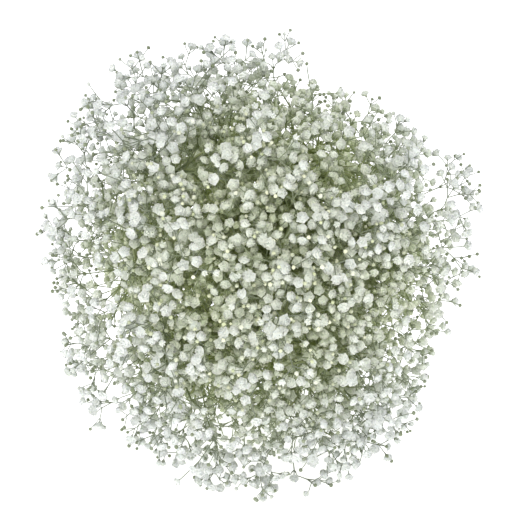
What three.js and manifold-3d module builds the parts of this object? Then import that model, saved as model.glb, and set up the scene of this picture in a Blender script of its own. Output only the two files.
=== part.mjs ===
// A tied bunch of seven cut gypsophila stems, lying on a table.
//
// Millimetres, +Z up, and z = 0 is the table. The cut ends point to +Y and the crown of the
// round flower head to -Y, a little raised, so that the bunch rests on one slanted cut end
// and on the lowest flowers of the head. Every stem is one grown body: its axis, leaves,
// forked branches and flowers are fused. A rubber band holds the seven stems together.
//
// Places in the bunch are given as (u, v, s): s runs along its axis from the cut ends to
// the crown, u is to the right and v upward as seen from in front of the crown.

import * as THREE from 'three';
import Module from 'manifold-3d';

const wasm = await Module();
wasm.setup();

const radians = THREE.MathUtils.degToRad;

// ---- driving dimensions ----

const SEED = 7411;
const TILT = radians(18); // how much the axis of the bunch rises towards the crown

// The seven stems: one in the middle and six round it.
const OUTER_STEMS = 6;
const FOOT_RING = 17; // radius of the ring of six at the cut ends
const BAND_RING = 4.8; // the same, where the band holds them
const HEAD_RING = 84; // the same, at the tops of their axes
const FOOT_TWIST = radians(30); // the stems cross in a light spiral below the band
const AXIS_TOP = 425; // the length of an outer stem's own axis
const MIDDLE_AXIS_TOP = 455;
const FOOT_DRAW = 1.8; // how late the ring narrows towards the band, as a power
const FAN_DRAW = 1.6; // how late it widens above the band
const SWAY = 5; // how far an axis wavers in the head
const SWAY_LENGTH = 41; // over one radian of its waver
const FOOT_RADIUS = 2.3;
const TOP_RADIUS = 1.05;
const EVEN_UP_TO = 60; // a stem tapers above this
const AXIS_POINT = 7; // from the last fork to the pointed end of the axis
const BARE_STATIONS = [0, 70, 125, 150, 177]; // below the first fork

// The rubber band.
const BAND_AT = 150;
const BAND_WIDTH = 7;
const BAND_THICKNESS = 1.5;
const BAND_PLAY = 0.35; // between the band and the stems

// The round head: its reach from the axis, all the way round from the right, anticlockwise.
const REACH = [146, 148, 134, 131, 156, 161, 169, 158, 148, 160, 157, 167, 171, 161, 130];
const WIDEST_AT = 400;
const CROWN_DEPTH = 132;
const UNDERSIDE_DEPTH = 175;
const HEART_AT = 325; // the sprays point away from here
const ON_COURSE = 0.5; // and this much of their branch's own way
const UNEVEN = 0.09; // how much the sprays stand in and out
const SHELLS = [
  { count: 90, scale: 1, lowest: -0.58, turn: 0 },
  { count: 34, scale: 0.62, lowest: -0.35, turn: 1.3 },
];
const CROWN_CROWDING = 1.12; // over 1, the sprays stand closer round the crown
const GOLDEN_ANGLE = Math.PI * (3 - Math.sqrt(5));
const MIDDLE_REACH = 52; // sprays nearer to the axis than this grow on the middle stem
const SECTOR_FILL = 0.93; // how much of its sixth of the head an outer stem fills

// Branches.
const FIRST_FORK_AT = 205;
const FORK_SPACING = 31;
const BRANCH_STEP = 36; // length of a straight stretch of branch
const SHORTEST_BRANCH = 14;
const LEAST_STRAIGHT = 0.25; // cosine of the widest angle at which a branch may leave
const TURN_COST = 0.9; // what makes a spray choose a fork that already points to it
const WALK_COST = 0.3; // and one near to the foot of the stem, for each mm walked
const CROWD_COST = 16; // and one with fewer branches, for each
const BULGE_AT = 0.45; // where a branch bends, as a share of its length
const BULGE = 0.17; // how far it goes on along its stem before it does
const BRANCH_RADIUS = 1.0;
const THINNER = 0.12; // for each branch that a branch grows from
const ROOT_SHARE = 0.8; // a branch starts this much slimmer, inside what it grows from
const TWIG_RADIUS = 0.62;
const BRANCH_CLEAR = 3; // a branch stays this high above the table

// A spray: a stalk that forks in pairs, with a flower in the middle of each fork.
const SPRAY_REACH = 35; // from its foot to its outermost flower
const SPRAY_STALK = 13;
const MIDDLE_STALK = 25;
const SIDE_STALK = 23;
const SPREAD = radians(44); // between a side stalk and the middle one
const SIDE_CHANGE = 0.2; // how much the side stalks differ in spread and length

// A flower, drawn larger than life so that the flowers cover the head as the real ones do.
const FLOWER_RADIUS = 8.6;
const NOTCH = 0.7; // radius between two petals, as a share of the flower's
const PETALS = 5;
const BUD_SIZE = 0.3; // as a share of an open flower
const BUD_STALK = 8;
const CUP_DEPTH = 4.6;
const DOME = 3.2;
const CALYX_RADIUS = 0.8;
const LOW_FLOWER_AT = 6; // the least height of a flower's middle before it is set down
const PRESSED = 1.3; // how far the flowers that the bunch rests on are flattened
const CLEARANCE = 0.5; // between two stems, with all that grows on them
const OWN_FLOWER_SHARE = 0.95; // the flowers of one stem may stand this much closer
const BEND = radians(11); // how far a stalk is bent to find a clear place
const BEND_TRIES = 9;

// Leaves, in opposite pairs on the bare part of each stem.
const LEAF_PAIRS_AT = [192, 236];
const LEAF_LENGTH = 36;
const LEAF_WIDTH = 5;
const LEAF_FOOT = 0.3; // width at its foot, as a share of the widest
const LEAF_WIDEST = 0.45; // where it is widest, as a share of its length
const LEAF_THICKNESS = 0.9;
const LEAF_ANGLE = radians(38); // between a leaf and its stem
const LEAF_TURN = radians(70); // between a leaf and the way out of the bunch

const MATERIALS = {
  stem: { color: 0xd9dfcc, roughness: 0.7, metalness: 0 }, // mostly white flowers
  band: { color: 0xc9a46c, roughness: 0.6, metalness: 0 },
};

// ---- small tools ----

// A repeatable number from 0 to 1 for any few whole numbers.
function chance(...keys) {
  let hash = SEED;
  for (const key of keys) {
    hash = Math.imul(hash ^ key, 0x9e3779b1) >>> 0;
    hash = Math.imul(hash ^ (hash >>> 15), 0x85ebca6b) >>> 0;
    hash = (hash ^ (hash >>> 13)) >>> 0;
  }
  return hash / 2 ** 32;
}

const around = (amount, ...keys) => 1 + amount * (2 * chance(...keys) - 1);
const along = (from, direction, length) => from.clone().addScaledVector(direction, length);
const between = (from, to) => to.clone().sub(from);

const LIFT = FOOT_RING * Math.cos(TILT);
function place(u, v, s) {
  const y = v * Math.sin(TILT) - s * Math.cos(TILT);
  const z = v * Math.cos(TILT) + s * Math.sin(TILT) + LIFT;
  return new THREE.Vector3(u, y, z);
}

// A unit vector at right angles to direction, as near to wish as can be.
function sideways(direction, wish) {
  return wish.clone().addScaledVector(direction, -wish.dot(direction)).normalize();
}

const anySide = (direction) =>
  sideways(direction, Math.abs(direction.z) < 0.8 ? new THREE.Vector3(0, 0, 1) : new THREE.Vector3(1, 0, 0));

// The directions of a line of points, each from its neighbours.
function directions(points) {
  return points.map((point, i) =>
    between(points[Math.max(0, i - 1)], points[Math.min(points.length - 1, i + 1)]).normalize(),
  );
}

// A ring of points round a centre, anticlockwise about direction, from the side onward.
function ring(centre, direction, side, radii) {
  const other = direction.clone().cross(side);
  return radii.map((radius, i) => {
    const turn = (2 * Math.PI * i) / radii.length;
    return along(along(centre, side, radius * Math.cos(turn)), other, radius * Math.sin(turn));
  });
}

// The closed skin through rings of any counts. A ring of one point is a tip.
function skin(rings) {
  const faces = [];
  const starts = [];
  let count = 0;
  for (const points of rings) {
    starts.push(count);
    count += points.length;
  }
  rings.slice(1).forEach((upper, k) => {
    const [lowCount, highCount] = [rings[k].length, upper.length];
    const low = (i) => starts[k] + (i % lowCount);
    const high = (j) => starts[k + 1] + (j % highCount);
    let [i, j] = [0, 0];
    while ((lowCount > 1 && i < lowCount) || (highCount > 1 && j < highCount)) {
      const lowNext = lowCount > 1 && i < lowCount ? (i + 0.5) / lowCount : 2;
      const highNext = highCount > 1 && j < highCount ? (j + 0.5) / highCount : 2;
      if (lowNext <= highNext) {
        faces.push(low(i), low(i + 1), high(j));
        i += 1;
      } else {
        faces.push(low(i), high(j + 1), high(j));
        j += 1;
      }
    }
  });
  const last = rings.at(-1);
  for (let i = 1; i < rings[0].length - 1; i += 1) faces.push(0, i + 1, i);
  for (let i = 1; i < last.length - 1; i += 1) {
    faces.push(starts.at(-1), starts.at(-1) + i, starts.at(-1) + i + 1);
  }
  return solid(rings.flat(), faces);
}

function solid(points, faces) {
  const vertProperties = new Float32Array(points.flatMap((point) => point.toArray()));
  const mesh = new wasm.Mesh({ numProp: 3, vertProperties, triVerts: new Uint32Array(faces) });
  return new wasm.Manifold(mesh);
}

// The way and the side at each of a line of points, turned along it without twist.
function frames(points, firstSide) {
  let side = firstSide;
  return directions(points).map((way) => {
    side = side ? sideways(way, side) : anySide(way);
    return { way, side };
  });
}

// The rings of a tapered rod of a few sides along a line of points.
function rodRings(points, radii, sides, firstSide) {
  return frames(points, firstSide).map(({ way, side }, i) =>
    ring(points[i], way, side, Array(sides).fill(radii[i])),
  );
}

// ---- the seven stems' own axes ----

function stemPoint(stem, s) {
  const below = Math.max(0, 1 - s / BAND_AT);
  const above = Math.max(0, (s - BAND_AT) / (AXIS_TOP - BAND_AT));
  const foot = (FOOT_RING - BAND_RING) * below ** FOOT_DRAW;
  const fan = (HEAD_RING - BAND_RING) * above ** FAN_DRAW;
  const spread = stem.middle ? 0 : BAND_RING + foot + fan;
  const turn = stem.turn - FOOT_TWIST * below;
  const sway = SWAY * above * Math.sin(s / SWAY_LENGTH + 2 * stem.number);
  return place(spread * Math.cos(turn) + sway, spread * Math.sin(turn) - sway, s);
}

function stemRadius(stem, s) {
  const tapered = Math.max(0, (s - EVEN_UP_TO) / (stem.top - EVEN_UP_TO));
  return FOOT_RADIUS + (TOP_RADIUS - FOOT_RADIUS) * tapered;
}

function makeStem(number, middle, turn) {
  const stem = { number, middle, turn, top: middle ? MIDDLE_AXIS_TOP : AXIS_TOP };
  const stations = [...BARE_STATIONS];
  for (let s = FIRST_FORK_AT; s <= stem.top; s += FORK_SPACING) stations.push(s);
  stem.axis = stations.map((s) => stemPoint(stem, s));
  stem.axisRadii = stations.map((s) => stemRadius(stem, s));
  return stem;
}

function makeStems() {
  const stems = [makeStem(1, true, 0)];
  for (let i = 0; i < OUTER_STEMS; i += 1) stems.push(makeStem(i + 2, false, (2 * Math.PI * i) / OUTER_STEMS));
  return stems;
}

// ---- where the sprays sit in the head ----

function reachAt(turn) {
  const share = (((turn / (2 * Math.PI)) % 1) + 1) % 1;
  const from = Math.floor(share * REACH.length);
  const blend = (1 - Math.cos(Math.PI * (share * REACH.length - from))) / 2;
  return REACH[from % REACH.length] * (1 - blend) + REACH[(from + 1) % REACH.length] * blend;
}

// The number of the stem that a spray at (u, v) grows on, and the spray's turn round the axis
// once it has been drawn in towards the middle of that stem's sixth of the head.
function ownerOf(away, turn) {
  if (away < MIDDLE_REACH) return [1, turn];
  const sector = (2 * Math.PI) / OUTER_STEMS;
  const nearest = Math.round(turn / sector);
  const owner = 2 + (((nearest % OUTER_STEMS) + OUTER_STEMS) % OUTER_STEMS);
  return [owner, nearest * sector + (turn - nearest * sector) * SECTOR_FILL];
}

function makeSprays() {
  const sprays = [];
  for (const shell of SHELLS) {
    for (let i = 0; i < shell.count; i += 1) {
      const index = sprays.length;
      const rise = 1 - (1 - shell.lowest) * ((i + 0.5) / shell.count) ** CROWN_CROWDING;
      const golden = i * GOLDEN_ANGLE + shell.turn;
      const depth = (rise > 0 ? CROWN_DEPTH : UNDERSIDE_DEPTH) - SPRAY_REACH;
      const size = shell.scale * around(UNEVEN, index, 1);
      const away = Math.sqrt(1 - rise * rise) * (reachAt(golden) - SPRAY_REACH) * size;
      const [owner, turn] = ownerOf(away, golden);
      const s = WIDEST_AT + rise * depth * size;
      const at = place(away * Math.cos(turn), away * Math.sin(turn), s);
      at.z = Math.max(at.z, BRANCH_CLEAR + FLOWER_RADIUS);
      sprays.push({ index, owner, at, outer: shell.scale === 1 });
    }
  }
  return sprays;
}

// ---- branches: each spray hangs on the nearest fork of its own stem ----

// Points of a rod where others may leave it.
function forksOn(points, radii, path, generation, firstSide) {
  let walked = path;
  return frames(points, firstSide).map(({ way, side }, i) => {
    walked += i > 0 ? points[i - 1].distanceTo(points[i]) : 0;
    return { at: points[i], way, side, radius: radii[i], path: walked, generation, branches: 0 };
  });
}

function bestFork(forks, target) {
  let best = null;
  for (const fork of forks) {
    const gap = between(fork.at, target);
    const length = gap.length();
    const straight = gap.dot(fork.way) / length;
    if (length < SHORTEST_BRANCH || straight < LEAST_STRAIGHT) continue;
    const turned = length * (1 + TURN_COST * (1 - straight));
    const cost = turned + WALK_COST * fork.path + CROWD_COST * fork.branches;
    if (!best || cost < best.cost) best = { cost, fork, gap, length };
  }
  return best;
}

function growBranches(stem, sprays) {
  const forks = forksOn(stem.axis, stem.axisRadii, 0, 0).slice(BARE_STATIONS.length);
  const heart = place(0, 0, HEART_AT);
  const nearestFirst = sprays
    .map((spray) => ({ spray, far: spray.at.distanceTo(forks[0].at) }))
    .sort((a, b) => a.far - b.far);
  return nearestFirst.map(({ spray }) => {
    const { fork, gap, length } = bestFork(forks, spray.at);
    fork.branches += 1;
    const bend = along(along(fork.at, gap, BULGE_AT), fork.way, BULGE * length);
    const steps = Math.max(2, Math.round(length / BRANCH_STEP));
    const points = new THREE.QuadraticBezierCurve3(fork.at, bend, spray.at).getPoints(steps);
    for (const point of points) point.z = Math.max(point.z, BRANCH_CLEAR);
    const start = Math.max(TWIG_RADIUS, BRANCH_RADIUS - THINNER * fork.generation);
    const radii = points.map((_, i) => start + ((TWIG_RADIUS - start) * i) / steps);
    forks.push(...forksOn(points, radii, fork.path, fork.generation + 1, fork.side).slice(1, -1));
    const end = between(points.at(-2), points.at(-1)).normalize().multiplyScalar(ON_COURSE);
    const way = end.add(between(heart, spray.at).normalize()).normalize();
    return { root: fork, points, radii, spray, way };
  });
}

// ---- flowers and leaves ----

function flowerRings(centre, way, side, size) {
  const rim = Array.from({ length: 2 * PETALS }, (_, i) => size * FLOWER_RADIUS * (i % 2 ? NOTCH : 1));
  return [
    ring(along(centre, way, -size * CUP_DEPTH), way, side, Array(3).fill(CALYX_RADIUS)),
    ring(centre, way, side, rim),
    [along(centre, way, size * DOME)],
  ];
}

// The centre of a flower, set down on the table and pressed a little if it comes near it.
function settled(centre, way, size) {
  const lowest = Math.min(...flowerRings(centre, way, anySide(way), size).flat().map((point) => point.z));
  const drop = lowest < PRESSED ? lowest + PRESSED : 0;
  return centre.clone().setZ(centre.z - drop);
}

// A rod that leaves another at a fork and ends in a flower is one skin. Its first ring lies
// inside the other rod, and no point of the flower lies below the table.
function floweringRod(root, points, radii, size) {
  const start = Array(3).fill(ROOT_SHARE * Math.min(root.radius, radii[0]));
  const { way, side } = frames(points, root.side).at(-1);
  const head = flowerRings(points.at(-1), way, side, size);
  for (const point of head.flat()) point.z = Math.max(0, point.z);
  const middle = rodRings(points, radii, 3, root.side).slice(1, -1);
  return [ring(points[0], root.way, root.side, start), ...middle, ...head];
}

function leafRings(at, way, side) {
  const up = way.clone().cross(side);
  const across = (centre, width) => [
    along(centre, side, width / 2),
    along(centre, up, LEAF_THICKNESS / 2),
    along(centre, side, -width / 2),
    along(centre, up, -LEAF_THICKNESS / 2),
  ];
  const widest = along(at, way, LEAF_LENGTH * LEAF_WIDEST);
  return [across(at, LEAF_WIDTH * LEAF_FOOT), across(widest, LEAF_WIDTH), [along(at, way, LEAF_LENGTH)]];
}

// ---- keeping the seven stems clear of each other ----

// The least distance between the straight stretches a-b and c-d.
function stretchGap(a, b, c, d) {
  const clamp = (number) => THREE.MathUtils.clamp(number, 0, 1);
  const [p, q, r] = [between(a, b), between(c, d), between(c, a)];
  const [pp, qq, pq, pr, qr] = [p.dot(p), q.dot(q), p.dot(q), p.dot(r), q.dot(r)];
  const det = pp * qq - pq * pq;
  const first = det > 1e-9 ? clamp((pq * qr - pr * qq) / det) : 0;
  const onSecond = qq > 1e-9 ? clamp((pq * first + qr) / qq) : 0;
  const onFirst = pp > 1e-9 ? clamp((pq * onSecond - pr) / pp) : 0;
  return along(a, p, onFirst).distanceTo(along(c, q, onSecond));
}

const taken = []; // stretches of rod, leaves and flowers already placed

function takeRod(stem, points, radii) {
  for (let i = 1; i < points.length; i += 1) {
    taken.push({ stem, a: points[i - 1], b: points[i], radius: Math.max(radii[i - 1], radii[i]) });
  }
}

// Flowers keep apart from all other flowers, and everything from the other stems.
function isClear(stretch) {
  return taken.every((other) => {
    const own = other.stem === stretch.stem;
    if (own && !(other.flower && stretch.flower)) return true;
    const room = (stretch.radius + other.radius) * (own ? OWN_FLOWER_SHARE : 1) + (own ? 0 : CLEARANCE);
    return stretchGap(stretch.a, stretch.b, other.a, other.b) > room;
  });
}

// ---- building one stem ----

// A stem's axis, from its cut end, which is level, to a point past its last fork. It has six
// sides, and its corners meet those of its neighbours under the band.
function axisRings(stem) {
  const way = between(stem.axis[0], stem.axis[1]).normalize();
  const corner = sideways(way, new THREE.Vector3(1, 0, 0));
  const rings = rodRings(stem.axis, stem.axisRadii, 6, corner);
  rings[0] = rings[0].map((point) => along(point, way, (stem.axis[0].z - point.z) / way.z));
  rings.push([along(stem.axis.at(-1), directions(stem.axis).at(-1), AXIS_POINT)]);
  return rings;
}

// The way, then ways ever further aside from it, none of which dips into the table.
function bentWay(way, attempt, foot, length) {
  const axis = anySide(way).applyAxisAngle(way, attempt * GOLDEN_ANGLE);
  const bent = way.clone().applyAxisAngle(axis, BEND * Math.sqrt(attempt));
  const least = (LOW_FLOWER_AT - foot.z) / length;
  if (bent.z >= least) return bent;
  const level = Math.sqrt(1 - least * least) / Math.hypot(bent.x, bent.y);
  return bent.set(bent.x * level, bent.y * level, least);
}

// Adds a rod that ends in a flower, bent aside where its place is taken. Returns its last way.
function addFlower(stem, root, points, radii, way, length, size) {
  const foot = points.at(-1);
  for (let attempt = 0; attempt < BEND_TRIES; attempt += 1) {
    const bent = bentWay(way, attempt, foot, length);
    const centre = settled(along(foot, bent, length), bent, size);
    const flower = { stem, a: centre, b: centre, radius: size * FLOWER_RADIUS, flower: true };
    const stalk = { stem, a: foot, b: centre, radius: TWIG_RADIUS };
    if (isClear(flower) && isClear(stalk)) {
      taken.push(flower, stalk);
      stem.solids.push(skin(floweringRod(root, [...points, centre], [...radii, TWIG_RADIUS], size)));
      return between(foot, centre).normalize();
    }
  }
  return null;
}

// A branch ends in an open flower, or in a bud where there is no room for one.
function addMiddleFlower(stem, branch) {
  const { root, points, radii, way } = branch;
  branch.opened = addFlower(stem, root, points, radii, way, MIDDLE_STALK, 1);
  branch.way = branch.opened ?? addFlower(stem, root, points, radii, way, BUD_STALK, BUD_SIZE);
}

function addSideFlower(stem, branch, hand) {
  const { spray, way, points } = branch;
  if (!branch.opened || !spray.outer) return;
  const foot = along(points.at(-1), way, SPRAY_STALK);
  const axis = anySide(way).applyAxisAngle(way, Math.PI * chance(spray.index, 3));
  const sideWay = way.clone().applyAxisAngle(axis, hand * SPREAD * around(SIDE_CHANGE, spray.index, 4 + hand));
  const length = SIDE_STALK * around(SIDE_CHANGE, spray.index, 7 + hand);
  const { side } = frames([...points, foot], branch.root.side).at(-1);
  const root = { way, side, radius: TWIG_RADIUS };
  addFlower(stem, root, [foot], [TWIG_RADIUS], sideWay, length, 1);
}

function addLeaves(stem) {
  for (const s of stem.middle ? [] : LEAF_PAIRS_AT) {
    const at = stemPoint(stem, s);
    const way = between(at, stemPoint(stem, s + 1)).normalize();
    const outward = sideways(way, between(place(0, 0, s), at));
    for (const hand of [1, -1]) {
      const out = outward.clone().applyAxisAngle(way, hand * LEAF_TURN);
      const leafWay = along(way.clone().multiplyScalar(Math.cos(LEAF_ANGLE)), out, Math.sin(LEAF_ANGLE));
      const leaf = { stem, a: at, b: along(at, leafWay, LEAF_LENGTH), radius: LEAF_WIDTH / 2 };
      if (!isClear(leaf)) continue;
      taken.push(leaf);
      stem.solids.push(skin(leafRings(at, leafWay, way.clone().cross(out))));
    }
  }
}

function fused(solids) {
  const { vertProperties, triVerts, numProp } = wasm.Manifold.union(solids).getMesh();
  const geometry = new THREE.BufferGeometry();
  geometry.setAttribute('position', new THREE.BufferAttribute(vertProperties.slice(), numProp));
  geometry.setIndex(new THREE.BufferAttribute(triVerts.slice(), 1));
  return geometry;
}

// ---- the rubber band ----

// A hexagon with round corners: what a band pulled round the ring of stems takes.
function bandOutline(Kind, radius) {
  const outline = new Kind();
  const sector = (2 * Math.PI) / OUTER_STEMS;
  for (let i = 0; i < OUTER_STEMS; i += 1) {
    const turn = i * sector;
    const [u, v] = [BAND_RING * Math.cos(turn), BAND_RING * Math.sin(turn)];
    outline.absarc(u, v, radius, turn - sector / 2, turn + sector / 2);
  }
  return outline;
}

function makeBand() {
  const inner = stemRadius({ top: AXIS_TOP }, BAND_AT) + BAND_PLAY;
  const outline = bandOutline(THREE.Shape, inner + BAND_THICKNESS);
  outline.holes.push(bandOutline(THREE.Path, inner));
  const cut = { depth: BAND_WIDTH, bevelEnabled: false, curveSegments: 3 };
  const geometry = new THREE.ExtrudeGeometry(outline, cut);
  const band = new THREE.Mesh(geometry, new THREE.MeshStandardMaterial(MATERIALS.band));
  band.name = 'rubber_band';
  band.rotation.x = Math.PI / 2 - TILT;
  band.position.copy(place(0, 0, BAND_AT - BAND_WIDTH / 2));
  return band;
}

// ---- the bunch ----

const stems = makeStems();
const sprays = makeSprays();
for (const stem of stems) {
  stem.branches = growBranches(stem, sprays.filter((spray) => spray.owner === stem.number));
  stem.solids = [skin(axisRings(stem))];
  takeRod(stem, stem.axis, stem.axisRadii);
  for (const branch of stem.branches) takeRod(stem, branch.points, branch.radii);
}
stems.forEach(addLeaves);
for (const stem of stems) stem.branches.forEach((branch) => addMiddleFlower(stem, branch));
for (const hand of [1, -1]) {
  for (const stem of stems) stem.branches.forEach((branch) => addSideFlower(stem, branch, hand));
}

const bunch = new THREE.Group();
bunch.add(makeBand());
for (const stem of stems) {
  const mesh = new THREE.Mesh(fused(stem.solids), new THREE.MeshStandardMaterial(MATERIALS.stem));
  mesh.name = `stem_${stem.number}`;
  bunch.add(mesh);
}
const middle = new THREE.Box3().setFromObject(bunch).getCenter(new THREE.Vector3());
bunch.position.set(-middle.x, -middle.y, 0);

export default bunch;
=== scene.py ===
# %% [markdown]
# # A bunch of gypsophila
# Seven cut stems lie on a table, held by a rubber band. Each stem forks and forks again until
# it ends in over a thousand small double flowers, and together they make one round head.
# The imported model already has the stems, most of their branches and some flowers larger than
# life. This lesson keeps that form and makes it finer: twigs that fork in pairs, small
# ruffled flowers in all stages, green calyxes, bracts and leaves, and a band wound in turns.

# %% Load the frame
import math
from itertools import product

import bmesh
import bpy
import numpy as np
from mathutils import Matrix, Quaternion, Vector


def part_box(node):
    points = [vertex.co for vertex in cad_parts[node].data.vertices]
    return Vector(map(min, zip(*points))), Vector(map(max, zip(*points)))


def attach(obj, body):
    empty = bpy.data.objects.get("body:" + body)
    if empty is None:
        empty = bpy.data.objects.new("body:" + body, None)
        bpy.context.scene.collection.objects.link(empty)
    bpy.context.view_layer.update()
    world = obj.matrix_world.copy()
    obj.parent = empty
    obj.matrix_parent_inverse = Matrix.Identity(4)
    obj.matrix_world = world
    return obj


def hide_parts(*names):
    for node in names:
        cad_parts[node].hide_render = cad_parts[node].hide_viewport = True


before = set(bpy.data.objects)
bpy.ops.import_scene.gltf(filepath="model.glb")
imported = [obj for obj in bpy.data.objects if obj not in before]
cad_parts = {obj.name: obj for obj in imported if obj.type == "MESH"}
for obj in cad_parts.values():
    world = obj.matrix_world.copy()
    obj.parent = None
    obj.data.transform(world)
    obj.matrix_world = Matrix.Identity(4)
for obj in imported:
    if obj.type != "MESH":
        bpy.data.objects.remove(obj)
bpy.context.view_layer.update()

bpy.ops.object.select_all(action="DESELECT")
print("CAD nodes:", ", ".join(sorted(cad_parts)))

# %% [markdown]
# ## Where things are in the bunch
# A place in the bunch is easiest to give as (u, v, s): s runs along its axis from the cut
# ends to the crown, u to the right and v upward as seen from in front of the crown. The axis
# rises a little towards the crown, because the round head is thicker than the bare stems.
# All lengths below are in millimetres, and are made metres only when a mesh is written.
# The middle of the band's box shows how far the frame is shifted to lie round the origin.

# %% Places and directions
MM = 0.001
FULL_TURN = 2 * math.pi
TILT = math.radians(18)  # how far the axis rises
FOOT_RING = 17  # radius of the ring of six stems at their cut ends
BAND_AT = 150  # along the axis, as all values that end in AT
LIFT = FOOT_RING * math.cos(TILT)
ACROSS = Vector((1, 0, 0))
UP = Vector((0, 0, 1))


def place(u, v, s):
    """The point (u, v, s) of the bunch, in millimetres, before the frame's shift."""
    y = v * math.sin(TILT) - s * math.cos(TILT)
    return Vector((u, y, v * math.cos(TILT) + s * math.sin(TILT) + LIFT))


def place_of(point):
    """The (u, v, s) of a point, so the reverse of place()."""
    high = point.z - LIFT
    v = point.y * math.sin(TILT) + high * math.cos(TILT)
    return point.x, v, high * math.sin(TILT) - point.y * math.cos(TILT)


band_low, band_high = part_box("rubber_band")
SHIFT = (band_low + band_high) / 2 / MM - place(0, 0, BAND_AT)
SHIFT.z = 0
print("shift of the frame in mm:", [round(n, 2) for n in SHIFT])

# %% [markdown]
# Two things are done again and again: a new object is put into the scene, and objects are
# selected for the next operator, which acts on all that is selected.

# %% Add and select objects
def new_object(name, data):
    """An object in the scene that shows this data."""
    made = bpy.data.objects.new(name, data)
    bpy.context.scene.collection.objects.link(made)
    return made


def pick(*objects):
    """Selects these objects and no others. The first becomes the active one."""
    bpy.ops.object.select_all(action="DESELECT")
    for each in objects:
        each.select_set(True)
    bpy.context.view_layer.objects.active = objects[0]


# %% [markdown]
# ## The camera
# It looks along the stems, straight onto the crown. The bunch lies down with its crown raised
# by the tilt of its axis, so the camera looks down by as much. A long lens from most of a
# metre away keeps the near flowers from growing out of scale.

# %% Place the camera
PICTURE = 512  # pixels along each side
MM_PER_PIXEL = 0.70  # in the plane where the head is widest
WIDEST_AT = 400
CAMERA_DISTANCE = 800  # from that plane
SENSOR = 36
HEAD_ASIDE = (6, 2)  # pixels that the head stands right of and below the picture's middle

camera_data = bpy.data.cameras.new("camera")
camera_data.sensor_width = SENSOR
camera_data.lens = SENSOR * CAMERA_DISTANCE / (MM_PER_PIXEL * PICTURE)
camera = new_object("camera", camera_data)
aside, below = (MM_PER_PIXEL * n for n in HEAD_ASIDE)
camera.location = (place(-aside, below, WIDEST_AT + CAMERA_DISTANCE) + SHIFT) * MM
camera.rotation_euler = (math.pi / 2 - TILT, 0, 0)
bpy.context.scene.camera = camera
print("lens in mm:", round(camera_data.lens, 1))

# %% [markdown]
# ## A repeatable chance
# No two twigs are alike, but the lesson has to come out the same each time. So instead of
# drawing random numbers in a row, a number is worked out from a few whole numbers that name
# the twig and what is asked about it. Adding a twig then leaves all the others as they were.

# %% Chances and turns
SEED = 7411
WORD = 0xFFFFFFFF
SCATTER = (0x9E3779B1, 0x85EBCA6B)  # large odd numbers that spread the bits
STEEP = 0.8  # from here on the rise of a way is too steep to measure its side from the vertical
ANY_TURN = 6  # nearly a full turn


def chance(*keys):
    """A repeatable number from 0 to 1 for any few whole numbers."""
    mixed = SEED
    for key in keys:
        mixed = ((mixed ^ key) & WORD) * SCATTER[0] & WORD
        mixed = (mixed ^ (mixed >> 15)) * SCATTER[1] & WORD
        mixed ^= mixed >> 13
    return mixed / 2**32


def around(amount, *keys):
    """A factor that lies around 1 by at most this amount."""
    return 1 + amount * (2 * chance(*keys) - 1)


def turned(vector, axis, angle):
    """The vector, turned about an axis."""
    return Quaternion(axis, angle) @ vector


def sideways(way, wish):
    """A unit vector at right angles to way, as near to wish as can be."""
    return (wish - way * wish.dot(way)).normalized()


def any_side(way, turn):
    """Some unit vector at right angles to way, at this turn round it."""
    return turned(sideways(way, UP if abs(way.z) < STEEP else ACROSS), way, turn)


# %% [markdown]
# ## The stems' own axes
# One stem runs up the middle and six stand round it. Under the band they meet. Towards the
# cut ends they spread in a light spiral, as they do in a hand, and above the band they fan
# out into the head and waver a little.

# %% Follow the axes
OUTER_STEMS = 6
BAND_RING = 4.8  # radius of the ring of six under the band
HEAD_RING = 84  # and at their tops
FOOT_TWIST = math.radians(30)
AXIS_TOP = 425
MIDDLE_AXIS_TOP = 455
FOOT_DRAW = 1.8  # how late the ring narrows and widens, as powers
FAN_DRAW = 1.6
SWAY = 5
SWAY_LENGTH = 41
FOOT_RADIUS = 2.3  # of a stem
TOP_RADIUS = 1.05
EVEN_UP_TO = 60
BARE_STATIONS = (0, 70, 125, 150, 177)  # joints without a branch
FIRST_FORK_AT = 205
FORK_SPACING = 31


def stem_point(stem, s):
    """A point of a stem's axis."""
    below = max(0, 1 - s / BAND_AT)
    above = max(0, (s - BAND_AT) / (AXIS_TOP - BAND_AT))
    foot = (FOOT_RING - BAND_RING) * below**FOOT_DRAW
    fan = (HEAD_RING - BAND_RING) * above**FAN_DRAW
    spread = 0 if stem["middle"] else BAND_RING + foot + fan
    turn = stem["turn"] - FOOT_TWIST * below
    sway = SWAY * above * math.sin(s / SWAY_LENGTH + 2 * stem["number"])
    return place(spread * math.cos(turn) + sway, spread * math.sin(turn) - sway, s)


def stem_radius(stem, s):
    """A stem's radius, which tapers above its even foot."""
    tapered = max(0, (s - EVEN_UP_TO) / (stem["top"] - EVEN_UP_TO))
    return FOOT_RADIUS + (TOP_RADIUS - FOOT_RADIUS) * tapered


def directions(points):
    """The way at each of a line of points, from its neighbours."""
    ends = len(points) - 1
    return [(points[min(ends, i + 1)] - points[max(0, i - 1)]).normalized() for i in range(ends + 1)]


def make_stem(number):
    """A stem with its joints, each where branches may leave it."""
    middle = number == 1
    turn = 0 if middle else FULL_TURN * (number - 2) / OUTER_STEMS
    top = MIDDLE_AXIS_TOP if middle else AXIS_TOP
    stem = {"number": number, "middle": middle, "turn": turn, "top": top}
    stem["stations"] = [*BARE_STATIONS, *range(FIRST_FORK_AT, top + 1, FORK_SPACING)]
    stem["axis"] = [stem_point(stem, s) for s in stem["stations"]]
    stem.update({kind: [] for kind in ("twigs", "flowers", "bracts", "leaves", "joints")})
    return stem


stems = [make_stem(number) for number in range(1, OUTER_STEMS + 2)]
print("stems:", len(stems))

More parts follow.
